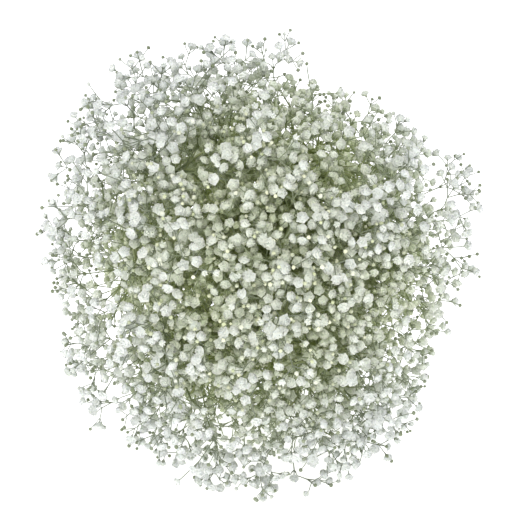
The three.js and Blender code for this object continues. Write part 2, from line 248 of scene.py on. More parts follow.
# %% [markdown]
# ## Where the sprays sit
# A head grown by chance would have holes and clumps. Real stems fill it because each twig
# grows to the light. A golden-angle spiral over a squashed ball does the same: it spreads any
# number of sprays evenly. The reach of the ball differs all the way round, as the outline of a
# real bunch does. One spiral makes the outer shell and a small one fills the inside. A third
# one between them, and a spray where the spirals leave a gap, are late: they grow when the
# others stand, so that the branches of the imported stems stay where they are.

# %% Spread the sprays over the head
# The reach at even steps round the head, counted from its right side through the top.
REACH = (146, 148, 134, 131, 156, 161, 169, 158, 148, 160, 157, 167, 171, 161, 130)
CROWN_DEPTH = 132
UNDERSIDE_DEPTH = 175
UNEVEN = 0.09
# lowest is the depth of the shell's last spray, from 1 at the crown to -1 at the underside.
SHELLS = (
    {"count": 90, "scale": 1, "lowest": -0.58, "turn": 0, "late": False},
    {"count": 34, "scale": 0.62, "lowest": -0.35, "turn": 1.3, "late": False},
    {"count": 30, "scale": 0.82, "lowest": -0.45, "turn": 2.1, "late": True},
)
GAP_FILLERS = ((3, -80, 392),)  # (u, v, s) where the spirals leave a gap
CROWN_CROWDING = 1.12
GOLDEN_ANGLE = math.pi * (3 - math.sqrt(5))
MIDDLE_REACH = 52  # sprays nearer to the axis than this grow on the middle stem
SECTOR_FILL = 0.93
SPRAY_REACH = 35  # from its foot to its outermost flower
LOWEST_SPRAY = 11.6


def reach_at(turn):
    """How far the head reaches from its axis at this turn round it."""
    share = turn / FULL_TURN % 1 * len(REACH)
    start = int(share)
    blend = (1 - math.cos(math.pi * (share - start))) / 2
    return REACH[start % len(REACH)] * (1 - blend) + REACH[(start + 1) % len(REACH)] * blend


def owner_of(away, turn):
    """The number of the stem that a spray grows on, and its turn drawn in to that stem's sixth."""
    if away < MIDDLE_REACH:
        return 1, turn
    sector = FULL_TURN / OUTER_STEMS
    nearest = math.floor(turn / sector + 0.5)
    return 2 + nearest % OUTER_STEMS, nearest * sector + (turn - nearest * sector) * SECTOR_FILL


def make_sprays():
    """The foot of each spray and the stem it grows on."""
    sprays = []
    for shell in SHELLS:
        for i in range(shell["count"]):
            index = len(sprays)
            rise = 1 - (1 - shell["lowest"]) * ((i + 0.5) / shell["count"]) ** CROWN_CROWDING
            golden = i * GOLDEN_ANGLE + shell["turn"]
            depth = (CROWN_DEPTH if rise > 0 else UNDERSIDE_DEPTH) - SPRAY_REACH
            size = shell["scale"] * around(UNEVEN, index, 1)
            away = math.sqrt(1 - rise * rise) * (reach_at(golden) - SPRAY_REACH) * size
            owner, turn = owner_of(away, golden)
            at = place(away * math.cos(turn), away * math.sin(turn), WIDEST_AT + rise * depth * size)
            at.z = max(at.z, LOWEST_SPRAY)
            sprays.append({"index": index, "owner": owner, "at": at, "late": shell["late"]})
    for u, v, s in GAP_FILLERS:
        owner, _ = owner_of(math.hypot(u, v), math.atan2(v, u))
        sprays.append({"index": len(sprays), "owner": owner, "at": place(u, v, s), "late": True})
    return sprays


sprays = make_sprays()
print("sprays:", len(sprays))

# %% [markdown]
# ## Branches
# Each spray hangs on a branch, and each branch leaves the stem or another branch at a joint.
# The joint is chosen as a plant would: near, already pointing the right way, and not crowded.
# A branch first follows the stem it leaves and then bends to its spray.

# %% Grow the branches
HEART_AT = 325  # sprays point away from here
ON_COURSE = 0.5  # how much a spray keeps to the way of its branch
BRANCH_STEP = 36
SHORTEST_BRANCH = 14
LEAST_STRAIGHT = 0.25  # cosine of the sharpest turn out of a joint
TURN_COST = 0.9
WALK_COST = 0.3
CROWD_COST = 16
BULGE_AT = 0.45
BULGE = 0.17
BRANCH_CLEAR = 3  # a branch stays this high above the table
BRANCH_RADIUS = 0.85
THINNER = 0.1  # with each generation
SPRAY_RADIUS = 0.47
heart = place(0, 0, HEART_AT)


def forks_on(points, path, generation):
    """Points of a rod where others may leave it, with how far each is from the stem's foot."""
    forks = []
    for i, way in enumerate(directions(points)):
        path += (points[i] - points[i - 1]).length if i else 0
        forks.append({"at": points[i], "way": way, "path": path, "generation": generation, "branches": 0})
    return forks


def best_fork(forks, target):
    """The fork that costs least to reach the target from."""
    best = None
    for fork in forks:
        gap = target - fork["at"]
        straight = gap.dot(fork["way"]) / gap.length
        if gap.length < SHORTEST_BRANCH or straight < LEAST_STRAIGHT:
            continue
        cost = gap.length * (1 + TURN_COST * (1 - straight)) + WALK_COST * fork["path"]
        cost += CROWD_COST * fork["branches"]
        if best is None or cost < best[0]:
            best = (cost, fork, gap)
    return best[1:]


def bezier(start, bend, end, steps):
    """Points along a curve that starts towards bend and comes to the end from it."""
    shares = [i / steps for i in range(steps + 1)]
    return [start * (1 - t) ** 2 + bend * 2 * t * (1 - t) + end * t * t for t in shares]


def grow_branches(stem, own_sprays):
    """The branches of one stem, nearest spray first."""
    forks = stem["forks"]
    first = forks[0]["at"]
    for spray in sorted(own_sprays, key=lambda spray: (spray["at"] - first).length):
        fork, gap = best_fork(forks, spray["at"])
        fork["branches"] += 1
        bend = fork["at"] + gap * BULGE_AT + fork["way"] * (BULGE * gap.length)
        steps = max(2, math.floor(gap.length / BRANCH_STEP + 0.5))
        points = bezier(fork["at"], bend, spray["at"], steps)
        for point in points:
            point.z = max(point.z, BRANCH_CLEAR)
        inner = forks_on(points, fork["path"], fork["generation"] + 1)[1:-1]
        forks += inner
        course = (points[-1] - points[-2]).normalized() * ON_COURSE
        way = (course + (spray["at"] - heart).normalized()).normalized()
        start = max(SPRAY_RADIUS, BRANCH_RADIUS - THINNER * fork["generation"])
        radii = np.linspace(start, SPRAY_RADIUS, steps + 1)
        stem["branches"].append({"points": points, "radii": radii, "spray": spray, "way": way})


for stem in stems:
    stem["forks"] = forks_on(stem["axis"], 0, 0)[len(BARE_STATIONS) :]
    stem["branches"] = []
    own_sprays = [spray for spray in sprays if spray["owner"] == stem["number"]]
    for late in (False, True):
        grow_branches(stem, [spray for spray in own_sprays if spray["late"] == late])
print("branches:", sum(len(stem["branches"]) for stem in stems))

# %% [markdown]
# ## Sprays that fork in pairs
# A spray of gypsophila is what botanists call a dichasium: a stalk ends in a flower, and just
# below it two side stalks leave in opposite directions, each of which does the same again,
# a quarter turn round. So the oldest flower sits in each fork and the buds are outermost.
# It is grown level by level for the whole bunch at once, so that old flowers take their
# places first. A flower that would run into another bends aside, or else stays a bud, and
# where there is no room for a bud either it is left out. Flowers near the rim are younger,
# and their last twigs longer. Here and there a fork on the crown also sends out a long bare
# stalk, which arches over the flowers beside it.

# %% How a spray grows
INTERNODE = (13, 11.5, 9, 4.6, 3.4)  # from fork to fork, by level
PEDICEL = (9, 8, 6.2, 4.8, 4)  # from a fork to the flower in it
SPREAD = math.radians(42)  # between a side stalk and its limb
SIDE_CHANGE = 0.22
QUARTER_CHANGE = math.radians(28)
TWIG_THINNER = 0.88  # from one level to the next
PEDICEL_RADIUS = 0.23
NODE_SWELL = 1.3
SLIM = 0.85  # a limb's radius halfway, beside its full one
FOOT_SLIM = 0.95
FOLLOW = 0.4  # how much the lower half of a limb keeps to the way before it
BENT_UP_TO = 1  # the last level whose limbs bend
BEND = math.radians(11)
FIRST_BEND = 0.3
BEND_TRIES = 7
LAST_LEVEL = 3
DEEPER = 0.7  # the share of limbs at that level that fork once more
END_SPRAY_LAST = 4  # the level at which the end sprays stop at the latest
FLOWER_CLEAR = 2.6  # the least height of a flower's middle
NODE_CLEAR = 2
STEEPEST = 0.95
GRID = 8  # cells in which flowers look for their neighbours
PRESSED = 0.82  # petals may press together a little
# At each level, the share that is open, at least half open, and at least bursting. The rest
# are buds.
STAGES = ((1, 1, 1), (0.95, 1, 1), (0.85, 0.93, 0.97), (0.6, 0.75, 0.86), (0.28, 0.4, 0.52))
YOUNGER = 0.45  # how much further the rim of the head is behind its middle
EVEN_AGE_AT = 0.42  # of the reach from the axis, where flowers are neither ahead nor behind
LOOSER = 0.7  # how much longer the last twigs are at the rim
STAGE_RADII = {"open": 3.5, "half": 2.4, "burst": 1.6, "bud": 1.3}
ARCHES = 500  # the names of the long bare stalks that arch over the crown start here
ARCH_LEVELS = (2, 3)  # where an arching stalk starts and stops
ARCH_FORKS = 1  # the level of the forks that may send one out
ARCH_SHARE = 0.62
ARCH_WITHIN = 0.75
ARCH_LEAN = math.radians(66)
ARCH_STRETCH = 2.3
taken = {}


def cell_of(point):
    """The cell of the grid that a point lies in."""
    return tuple(int(n // GRID) for n in point)


def is_free(centre, radius):
    """Whether a flower of this radius has room here."""
    middle = cell_of(centre)
    for step in product((-1, 0, 1), repeat=3):
        for other, other_radius in taken.get(tuple(a + b for a, b in zip(middle, step)), ()):
            if (other - centre).length < (radius + other_radius) * PRESSED:
                return False
    return True


def lifted(way, foot, length, clear):
    """The way, bent up as far as it takes for its end to stay clear of the table."""
    least = min(STEEPEST, (clear - foot.z) / length)
    if way.z >= least:
        return way
    level = math.sqrt(1 - least * least) / math.hypot(way.x, way.y)
    return Vector((way.x * level, way.y * level, least))


def share_of_reach(point):
    """How far a point is from the bunch's axis, beside the head's reach on that side."""
    u, v, _ = place_of(point)
    return math.hypot(u, v) / reach_at(math.atan2(v, u))


def stage_of(limb, level, foot):
    """How far the flower of a limb has opened. Those near the rim of the head are younger."""
    draw = chance(*limb, 11) * (1 + YOUNGER * (share_of_reach(foot) - EVEN_AGE_AT))
    for stage, share in zip(("open", "half", "burst"), STAGES[level]):
        if draw < share:
            return stage
    return "bud"


def find_room(node, way, length, stage, limb):
    """Where the flower of a fork sits, its way and its stage, or nothing if it has no room."""
    for stage in (stage, "bud"):
        for attempt in range(BEND_TRIES):
            turn = attempt * GOLDEN_ANGLE + ANY_TURN * chance(*limb, 12)
            angle = BEND * math.sqrt(attempt + FIRST_BEND)
            bent = turned(way, any_side(way, turn), angle)
            bent = lifted(bent, node, length, FLOWER_CLEAR)
            centre = node + bent * length
            if is_free(centre, STAGE_RADII[stage]):
                taken.setdefault(cell_of(centre), []).append((centre, STAGE_RADII[stage]))
                return centre, bent, stage
    return None


def first_limb(name, levels, foot, way, before, turn, radius, stretch):
    """The limb that a spray starts with. The limbs above it are changed copies."""
    limb = {"name": name, "level": levels[0], "last": levels[1], "foot": foot, "way": way}
    side = any_side(way, turn)
    return {**limb, "before": before, "side": side, "radius": radius, "stretch": stretch}


def arch_from(limb, node):
    """A long bare stalk that leans out of a fork over the flowers beside it."""
    name = (limb["name"][0], limb["name"][1] + ARCHES)
    before = limb["way"]
    way = turned(before, any_side(before, ANY_TURN * chance(*name, 7)), ARCH_LEAN)
    turn = ANY_TURN / 2 * chance(*name, 8)
    return first_limb(name, ARCH_LEVELS, node, way, before, turn, limb["radius"], ARCH_STRETCH)


def grow_limb(stem, limb):
    """One limb of a spray with its fork and the flower in it. Returns the limbs that leave it."""
    keys = ("name", "level", "foot", "way", "side", "radius")
    name, level, foot, way, side, radius = (limb[key] for key in keys)
    loose = 1 + LOOSER * max(0, 2 * share_of_reach(foot) - 1) if level >= LAST_LEVEL else 1
    length = INTERNODE[level] * around(SIDE_CHANGE, *name, 1) * limb["stretch"] * loose
    way = lifted(way, foot, length, NODE_CLEAR)
    node = foot + way * length
    pedicel = PEDICEL[level] * around(SIDE_CHANGE, *name, 2)
    more = limb["last"] > level and (level < LAST_LEVEL or chance(*name, 3) < DEEPER)
    room = find_room(node, way, pedicel, stage_of(name, level, foot), name)
    if not room and not more:
        return []
    points, radii = [foot, node], [radius * FOOT_SLIM, radius * NODE_SWELL * SLIM]
    if level <= BENT_UP_TO:
        course = limb["before"] * FOLLOW + way * (1 - FOLLOW)
        points.insert(1, foot + course * (length * 0.5))
        radii.insert(1, radius * SLIM)
    if room:
        stem["flowers"].append((*room, name))
        points.append(room[0])
        radii.append(PEDICEL_RADIUS)
    stem["twigs"].append((points, radii))
    if not more:
        return []
    stem["bracts"].append((node, way, side, level))
    limbs = []
    for hand in (0, 1):
        child = (name[0], 2 * name[1] + hand)
        spread = SPREAD * around(SIDE_CHANGE, *child, 4)
        out = turned(way, way.cross(side), (spread if hand else -spread))
        change = QUARTER_CHANGE * (2 * chance(*child, 5) - 1)
        quarter = turned(out.cross(side).normalized(), out, change)
        grown = {"name": child, "level": level + 1, "foot": node, "before": way, "way": out}
        limbs.append({**limb, **grown, "side": quarter, "radius": radius * TWIG_THINNER})
    may_arch = limb["last"] == END_SPRAY_LAST and level == ARCH_FORKS
    if may_arch and share_of_reach(node) < ARCH_WITHIN and chance(*name, 6) < ARCH_SHARE:
        limbs.append(arch_from(limb, node))
    return limbs


# %% [markdown]
# A spray stands at the end of each branch, and on the crown some of them lean out and grow
# taller. Smaller ones leave the joints along the branches: two at each joint deep in the
# head, one further out, and hardly any near the rim, which stays airy. They fill the inside
# and hide most of the branches. At a few joints a long, loose spray grows as well. Low down,
# behind the head, the branches bear none, from a height that varies from joint to joint.

# %% Grow all the sprays
END_LEVELS = (0, END_SPRAY_LAST)  # where an end spray starts and stops
SIDE_LEVELS = (1, 3)
SIDE_SPRAY_ANGLE = math.radians(46)
SIDE_SPRAY_EVERY = 9.7  # along a branch
FIRST_JOINT = 0.8  # of that, from the foot of a branch
SIDE_START = 0.25  # of a half turn, from the outward side to the first side spray
SIDE_WAVER = 0.8
SIDE_SLIM = 0.85
SIDE_SPRAYS = 1000  # names for side sprays start here
SECOND_SPRAYS = 20000  # and for the ones on the other side of a joint here, added to those
SIDE_STRETCH = 1.35
FLOWERS_FROM = 240  # along the bunch; below it the branches only have leaves
FLOWERS_VARY = 65  # and by as much further up some joints still have none
FULL_WITHIN = 0.45  # up to here, of the head's reach, every joint has two side sprays
SINGLE_FROM = 0.61  # and from here on at most one
BARE_SHARE = 0.95  # the share of the joints out there that have none
LONG_SPRAYS = 40000  # names for the long loose sprays start here
LONG_SPRAY_SHARE = 0.16  # of the joints
LONG_SPRAY_ANGLE = math.radians(62)
LONG_STRETCH = 1.9
LONG_FROM = 70  # how far from the heart of the head they start
LONG_WITHIN = 0.7  # of the head's reach
LONG_HAND = 0.5  # between the two side sprays
TALL_SHARE = 0.36  # of the end sprays of the crown
TALL_WITHIN = 0.58  # of the head's reach
TALL_STRETCH = 1.5
TALL_LEAN = math.radians(42)
# How far the end sprays spread, by their turn round the head.
END_STRETCH = (0.9, 0.88, 0.9, 0.72, 0.8, 0.94, 0.92, 0.88, 0.88, 0.9, 0.9, 0.78, 1, 0.93, 0.84)


def end_spray(branch):
    """The spray at the end of a branch."""
    index = branch["spray"]["index"]
    before = (branch["points"][-1] - branch["points"][-2]).normalized()
    turn = math.pi * chance(index, 3)
    foot = branch["points"][-1]
    u, v, _ = place_of(foot)
    step = round(math.atan2(v, u) / FULL_TURN * len(END_STRETCH))
    stretch = END_STRETCH[step % len(END_STRETCH)]
    way = branch["way"]
    if share_of_reach(foot) < TALL_WITHIN and chance(index, 9) < TALL_SHARE:
        stretch *= TALL_STRETCH
        way = turned(way, any_side(way, ANY_TURN * chance(index, 10)), TALL_LEAN)
    return first_limb((index, 1), END_LEVELS, foot, way, before, turn, SPRAY_RADIUS, stretch)


def joints_along(points, spacing):
    """Places and ways at even steps along a line of points, without its ends."""
    joints, left = [], spacing * FIRST_JOINT
    for start, end in zip(points, points[1:]):
        way = (end - start).normalized()
        length = (end - start).length
        while left < length:
            joints.append((start + way * left, way))
            left += spacing
        left -= length
    return joints


def side_spray(index, at, way, quarter, hand, angle=SIDE_SPRAY_ANGLE, stretch=SIDE_STRETCH):
    """A smaller spray at a joint. Each joint is a quarter turn from the last."""
    outward = sideways(way, at - heart)
    around_way = math.pi * (SIDE_START + quarter / 2 + hand) + SIDE_WAVER * (chance(index, 1) - 0.5)
    aside = turned(outward, way, around_way)
    out = (way * math.cos(angle) + aside * math.sin(angle)).normalized()
    turn = math.pi * chance(index, 3)
    return first_limb((index, 1), SIDE_LEVELS, at, out, way, turn, SPRAY_RADIUS * SIDE_SLIM, stretch)


growing = []
for stem in stems:
    growing += [(stem, end_spray(branch)) for branch in stem["branches"]]
for stem in stems:
    lines = [branch["points"] for branch in stem["branches"]] + [stem["axis"][len(BARE_STATIONS) :]]
    for line in lines:
        for k, (at, way) in enumerate(joints_along(line, SIDE_SPRAY_EVERY)):
            index = SIDE_SPRAYS + len(growing)
            thinning = (share_of_reach(at) - FULL_WITHIN) / (SINGLE_FROM - FULL_WITHIN)
            stem["joints"].append((at, way, k))
            if place_of(at)[2] < FLOWERS_FROM + FLOWERS_VARY * chance(index, 13):
                continue
            if thinning < 1 or chance(index, 7) > BARE_SHARE:
                growing.append((stem, side_spray(index, at, way, k, 0)))
            if chance(index, 6) > thinning:
                growing.append((stem, side_spray(index + SECOND_SPRAYS, at, way, k, 1)))
            may_be_long = (at - heart).length >= LONG_FROM and share_of_reach(at) <= LONG_WITHIN
            if may_be_long and chance(index, 8) < LONG_SPRAY_SHARE:
                stalk = (LONG_HAND, LONG_SPRAY_ANGLE, LONG_STRETCH)
                growing.append((stem, side_spray(index + LONG_SPRAYS, at, way, k, *stalk)))
while growing:
    growing = [(stem, child) for stem, limb in growing for child in grow_limb(stem, limb)]
for stage in STAGE_RADII:
    print(stage, sum(flower[2] == stage for stem in stems for flower in stem["flowers"]))

# %% [markdown]
# ## One flower, ring by ring
# A double gypsophila flower is a small ruffled pompom: five notched petals outside, more in
# its gaps, and a crumpled middle, on a calyx with five teeth. Modelling every petal would cost
# far too many faces for thousands of flowers. Instead a disc is drawn up ring by ring: each
# new ring has its even and its odd points at their own radius and height, so rims and creases
# alternate as the petals do. Each shape is modelled once here, and copied later.

# %% Shape a closed rosette
def select_points(shape, wanted):
    """Selects the points of a shape in edit mode by their numbers."""
    bpy.ops.mesh.select_all(action="DESELECT")
    mesh = bmesh.from_edit_mesh(shape.data)
    for point in mesh.verts:
        if point.index in wanted:
            point.select_set(True)
    mesh.select_flush(True)
    bmesh.update_edit_mesh(shape.data)


def set_ring(shape, first, sides, before, after):
    """Takes the even and the odd points of a ring from one radius and height to another."""
    for parity in (0, 1):
        (old_radius, old_height), (radius, height) = before[parity], after[parity]
        ratio = radius / old_radius
        select_points(shape, set(range(first + parity, first + sides, 2)))
        bpy.ops.transform.resize(value=(ratio, ratio, 1), center_override=(0, 0, 0))
        bpy.ops.transform.translate(value=(0, 0, (height - old_height) * MM))
    select_points(shape, set(range(first, first + sides)))


def rosette(name, sides, rings, tip, root, crumple=0, seed=0):
    """A closed shape from its root point through rings to its tip.

    Each ring has the radius and height of its even points and those of its odd points.
    """
    radius, height = rings[0][0]
    depth, middle = (height - root) * MM, (height + root) / 2 * MM
    bpy.ops.mesh.primitive_cone_add(
        vertices=sides, radius1=radius * MM, depth=depth, location=(0, 0, middle), rotation=(math.pi, 0, 0)
    )
    bpy.ops.object.transform_apply(location=True, rotation=True, scale=True)
    shape = bpy.context.object
    shape.name = name
    bpy.ops.object.mode_set(mode="EDIT")
    set_ring(shape, 0, sides, level_ring(radius, height), rings[0])
    for before, after in zip(rings, rings[1:]):
        bpy.ops.mesh.extrude_region_move()
        set_ring(shape, len(bmesh.from_edit_mesh(shape.data).verts) - sides, sides, before, after)
    mean_height = sum(height for _, height in rings[-1]) / 2
    bpy.ops.mesh.poke(offset=(tip - mean_height) * MM)
    if crumple:
        bpy.ops.mesh.select_all(action="SELECT")
        bpy.ops.transform.vertex_random(offset=crumple * MM, seed=seed)
    bpy.ops.mesh.select_all(action="SELECT")
    bpy.ops.mesh.normals_make_consistent(inside=False)
    bpy.ops.object.mode_set(mode="OBJECT")
    return shape


def level_ring(radius, height):
    """A ring whose even and odd points are alike."""
    return ((radius, height), (radius, height))


FULL_RINGS = (
    ((3.6, 0.3), (2.8, -0.5)),
    ((1.9, 0.3), (2.9, 1.3)),
    ((2.3, 2.0), (1.4, 1.0)),
    ((0.8, 1.5), (1.3, 2.6)),
)
PLAIN_RINGS = (((3.5, 0.3), (2.8, -0.4)), ((1.5, 0.8), (2.2, 2.0)))
HALF_RINGS = (((2.3, 0.6), (1.8, 0.1)), ((1.1, 1.2), (1.6, 2.3)))
BURST_RINGS = (level_ring(1.4, -0.2), ((0.8, 1.4), (1.15, 1.0)))
BUD_RINGS = (level_ring(1.3, -0.1), level_ring(0.95, 0.9))
shapes = {
    "full": [rosette(f"full_{k}", 10, FULL_RINGS, 1.9, -2.4, 0.4, 31 + k) for k in range(6)],
    "open": [rosette(f"open_{k}", 8, PLAIN_RINGS, 1.2, -2.4, 0.4, 41 + k) for k in range(5)],
    "half": [rosette(f"half_{k}", 8, HALF_RINGS, 1.4, -2.1, 0.22, 51 + k) for k in range(3)],
    "burst": [rosette("burst", 6, BURST_RINGS, 1.8, -1.5)],
    "bud": [rosette("bud", 6, BUD_RINGS, 1.4, -1.2)],
}
CALYX_RINGS = (((1.3, -0.7), (1.15, -1.3)),)
calyx_shape = rosette("calyx", 6, CALYX_RINGS, -1.6, -3.2)
for stage, kinds in shapes.items():
    print(stage, "faces:", len(kinds[0].data.polygons))
print("calyx faces:", len(calyx_shape.data.polygons))

# %% [markdown]
# ## Copying a shape
# A shape's points and faces are read once, as arrays. A copy then is one matrix product, so
# thousands of flowers take a blink, and all the copies on a stem become a single mesh.

# %% Read shapes and write copies
def read_shape(shape):
    """A shape's points, its faces' corners and its faces' sizes, as arrays."""
    mesh = shape.data
    points = np.zeros(len(mesh.vertices) * 3)
    mesh.vertices.foreach_get("co", points)
    corners = np.zeros(len(mesh.loops), int)
    mesh.loops.foreach_get("vertex_index", corners)
    sizes = np.zeros(len(mesh.polygons), int)
    mesh.polygons.foreach_get("loop_total", sizes)
    return {"points": points.reshape(-1, 3) / MM, "corners": corners, "sizes": sizes}


def dress(mesh, materials):
    """Adds materials to a mesh or a curve, in order."""
    for material in materials:
        mesh.materials.append(material)


def copy_of(model, at, way, side, size, finish, marks):
    """A copy of a shape at a point in mm, with its own finish number and marks for its points."""
    turn = np.array((side, way.cross(side), way)).T * size
    points = model["points"] @ turn.T + np.array(at)
    return {**model, "points": points, "finish": finish, "marks": marks}


def write_mesh(name, copies, materials, marks=()):
    """One object from many copies. marks names the attributes that the copies bring along."""
    starts = np.cumsum([0] + [len(c["points"]) for c in copies])
    points = np.concatenate([c["points"] for c in copies])
    corners = np.concatenate([c["corners"] + start for c, start in zip(copies, starts)])
    sizes = np.concatenate([c["sizes"] for c in copies])
    finishes = np.concatenate([np.full(len(c["sizes"]), c["finish"]) for c in copies])
    mesh = bpy.data.meshes.new(name)
    dress(mesh, materials)
    mesh.vertices.add(len(points))
    points[:, 2] = np.maximum(points[:, 2], 0)  # what meets the table is pressed flat
    mesh.vertices.foreach_set("co", ((points + np.array(SHIFT)) * MM).ravel())
    mesh.loops.add(len(corners))
    mesh.loops.foreach_set("vertex_index", corners)
    mesh.polygons.add(len(sizes))
    mesh.polygons.foreach_set("loop_start", np.cumsum(sizes) - sizes)
    mesh.polygons.foreach_set("material_index", finishes)
    for mark in marks:
        attribute = mesh.attributes.new(mark, "FLOAT", "POINT")
        values = [np.broadcast_to(c["marks"][mark], len(c["points"])) for c in copies]
        attribute.data.foreach_set("value", np.concatenate(values))
    mesh.update(calc_edges=True)
    mesh.validate()
    return new_object(name, mesh)


# %% [markdown]
# ## The petals of each stem
# A mark on each point says how deep in the flower it lies, from 0 in the creases to 1 on the rims. Three
# more say how green its stage still is, which flower it belongs to and how near the rim of the head it is,
# where flowers are young. The finish reads them, so creases can be painted in a greener shade than rims
# and no two flowers are quite alike.

# %% Copy the flowers
GREENNESS = {"full": 0, "open": 0, "half": 0.12, "burst": 0.45, "bud": 1}
FLOWER_SIZES = 0.15  # how much they vary
LARGEST = 1.04  # on the bunch's axis, beside the shape as modelled
RIM_SMALLER = 0.02  # how much smaller the flowers at the rim are
YOUNG_FROM = 0.3  # of the head's reach
YOUNG_OVER = 0.45  # and how much further on they are as young as can be
HEAD_MIDDLE = place(0, 0, 385)
FULL_BEYOND = 110  # from the middle of the head; flowers inside have fewer ruffles
RELIEF = 1.4  # from a crease up to a rim
PETAL_MARKS = ("rim", "green", "flower", "young")
BUD_CALYX = (0.85, 0.85, 0.5)  # the calyx of a bud beside that of a flower
BUD_CALYX_LIFT = 0.35


# This relief is the mask for the painted shade in the creases of the petals.
def crease_shade_mask_of(model):
    """How high each point stands over a smooth dome: 0 in the creases, 1 on the rims."""
    x, y, z = model["points"].T
    across = np.hypot(x, y)
    dome = z.max() * (1 - (across / across.max()) ** 2)
    return np.clip(0.5 + (z - dome) / RELIEF, 0, 1)


models = {stage: [read_shape(shape) for shape in kinds] for stage, kinds in shapes.items()}
calyx = read_shape(calyx_shape)
bud_calyx = {**calyx, "points": calyx["points"] * BUD_CALYX + (0, 0, BUD_CALYX_LIFT)}
crease_shade_masks = {stage: [crease_shade_mask_of(model) for model in kinds] for stage, kinds in models.items()}
for shape in [shape for kinds in shapes.values() for shape in kinds] + [calyx_shape]:
    bpy.data.objects.remove(shape)


def flower_copies(stem):
    """The petals and calyxes of one stem."""
    petals, calyxes = [], []
    for centre, way, stage, name in stem["flowers"]:
        if stage == "open" and (centre - HEAD_MIDDLE).length > FULL_BEYOND:
            stage = "full"
        outward = min(1, share_of_reach(centre))
        kind = int(chance(*name, 21) * len(models[stage]))
        side = any_side(way, FULL_TURN * chance(*name, 22))
        young = min(1, max(0, (outward - YOUNG_FROM) / YOUNG_OVER))
        size = around(FLOWER_SIZES, *name, 23) * (LARGEST - RIM_SMALLER * outward**2)
        values = (crease_shade_masks[stage][kind], GREENNESS[stage], chance(*name, 24), young)
        marks = dict(zip(PETAL_MARKS, values))
        petals.append(copy_of(models[stage][kind], centre, way, side, size, 0, marks))
        cup = bud_calyx if stage in ("bud", "burst") else calyx
        calyxes.append(copy_of(cup, centre, way, side, size, 1, {}))
    return petals, calyxes


# %% [markdown]
# ## Leaves and bracts
# Gypsophila leaves are narrow and pointed, in opposite pairs, with one keeled midrib and a
# waxy bloom. A strip is drawn out step by step, wider and then narrower, while it arches
# over. Its middle line is pressed down into the keel, and Solidify gives it a real edge. The
# bracts in the forks of a spray are the same thing, only a few millimetres long, so a
# pointed scale with a few faces is enough. A longer scale makes the narrow leaflets.

# %% Shape a leaf and a bract
# Each step has its distance along the leaf, its width and its rise. Distance and rise are
# shares of the length.
LEAF_STEPS = (
    (0.1, 1.5, 0.02),
    (0.28, 2.6, 0.03),
    (0.47, 2.5, 0.0),
    (0.66, 2.0, -0.06),
    (0.84, 1.15, -0.15),
    (1, 0.2, -0.27),
)
LEAF_LENGTH = 36
LEAF_KEEL = 0.6
KEEL_UP_TO = 0.95  # of the length
LEAF_THICKNESS = 0.45
TINY = 1e-6  # metres


def make_leaf():
    """A leaf along +X from the origin, its upper side to +Z, in metres."""
    bpy.ops.mesh.primitive_grid_add(x_subdivisions=1, y_subdivisions=2, size=1)
    leaf = bpy.context.object
    bpy.ops.object.mode_set(mode="EDIT")
    bpy.ops.mesh.select_all(action="SELECT")
    first, width, rise = LEAF_STEPS[0]
    length = LEAF_LENGTH * MM
    bpy.ops.transform.translate(value=(0.5, 0, 0))
    bpy.ops.transform.resize(value=(first * length, width * MM, 1), center_override=(0, 0, 0))
    mesh = bmesh.from_edit_mesh(leaf.data)
    far = max(point.co.x for point in mesh.verts)
    select_points(leaf, {point.index for point in mesh.verts if point.co.x > far - TINY})
    before, wide, high = first, width, 0
    for share, width, rise in LEAF_STEPS[1:]:
        step = ((share - before) * length, 0, (rise - high) * length)
        bpy.ops.mesh.extrude_region_move(TRANSFORM_OT_translate={"value": step})
        bpy.ops.transform.resize(value=(1, width / wide, 1), center_override=(0, 0, 0))
        before, wide, high = share, width, rise
    mesh = bmesh.from_edit_mesh(leaf.data)
    middle = [point for point in mesh.verts if abs(point.co.y) < TINY]
    select_points(leaf, {point.index for point in middle if point.co.x < length * KEEL_UP_TO})
    bpy.ops.transform.translate(value=(0, 0, -LEAF_KEEL * MM))
    bpy.ops.object.mode_set(mode="OBJECT")
    wall = leaf.modifiers.new("wall", "SOLIDIFY")
    wall.thickness = LEAF_THICKNESS * MM
    wall.offset = -1
    bpy.ops.object.modifier_apply(modifier="wall")
    return leaf


BRACT_RINGS = (((0.7, 1.2), (0.5, 1)),)
BRACT_FLAT = 0.45
LEAFLET_RINGS = (((0.75, 2.5), (0.45, 2.2)), ((1.1, 6), (0.5, 5.6)))
LEAFLET_FLAT = 0.5
leaf_shape = make_leaf()
bract_shape = rosette("bract", 4, BRACT_RINGS, 3.2, 0)
leaflet_shape = rosette("leaflet", 4, LEAFLET_RINGS, 13, 0)
leaf, bract, leaflet = (read_shape(shape) for shape in (leaf_shape, bract_shape, leaflet_shape))
bract["points"][:, 1] *= BRACT_FLAT
leaflet["points"][:, 1] *= LEAFLET_FLAT
for shape in (leaf_shape, bract_shape, leaflet_shape):
    bpy.data.objects.remove(shape)
print("leaf faces:", len(leaf["sizes"]), "bract faces:", len(bract["sizes"]))

# %% [markdown]
# The large leaves stand where the frame has them, in pairs above the band. A florist strips
# the ones below. Smaller ones stand at the joints of the stems and branches inside the head,
# each pair a quarter turn from the last, and narrow leaflets between the side sprays.

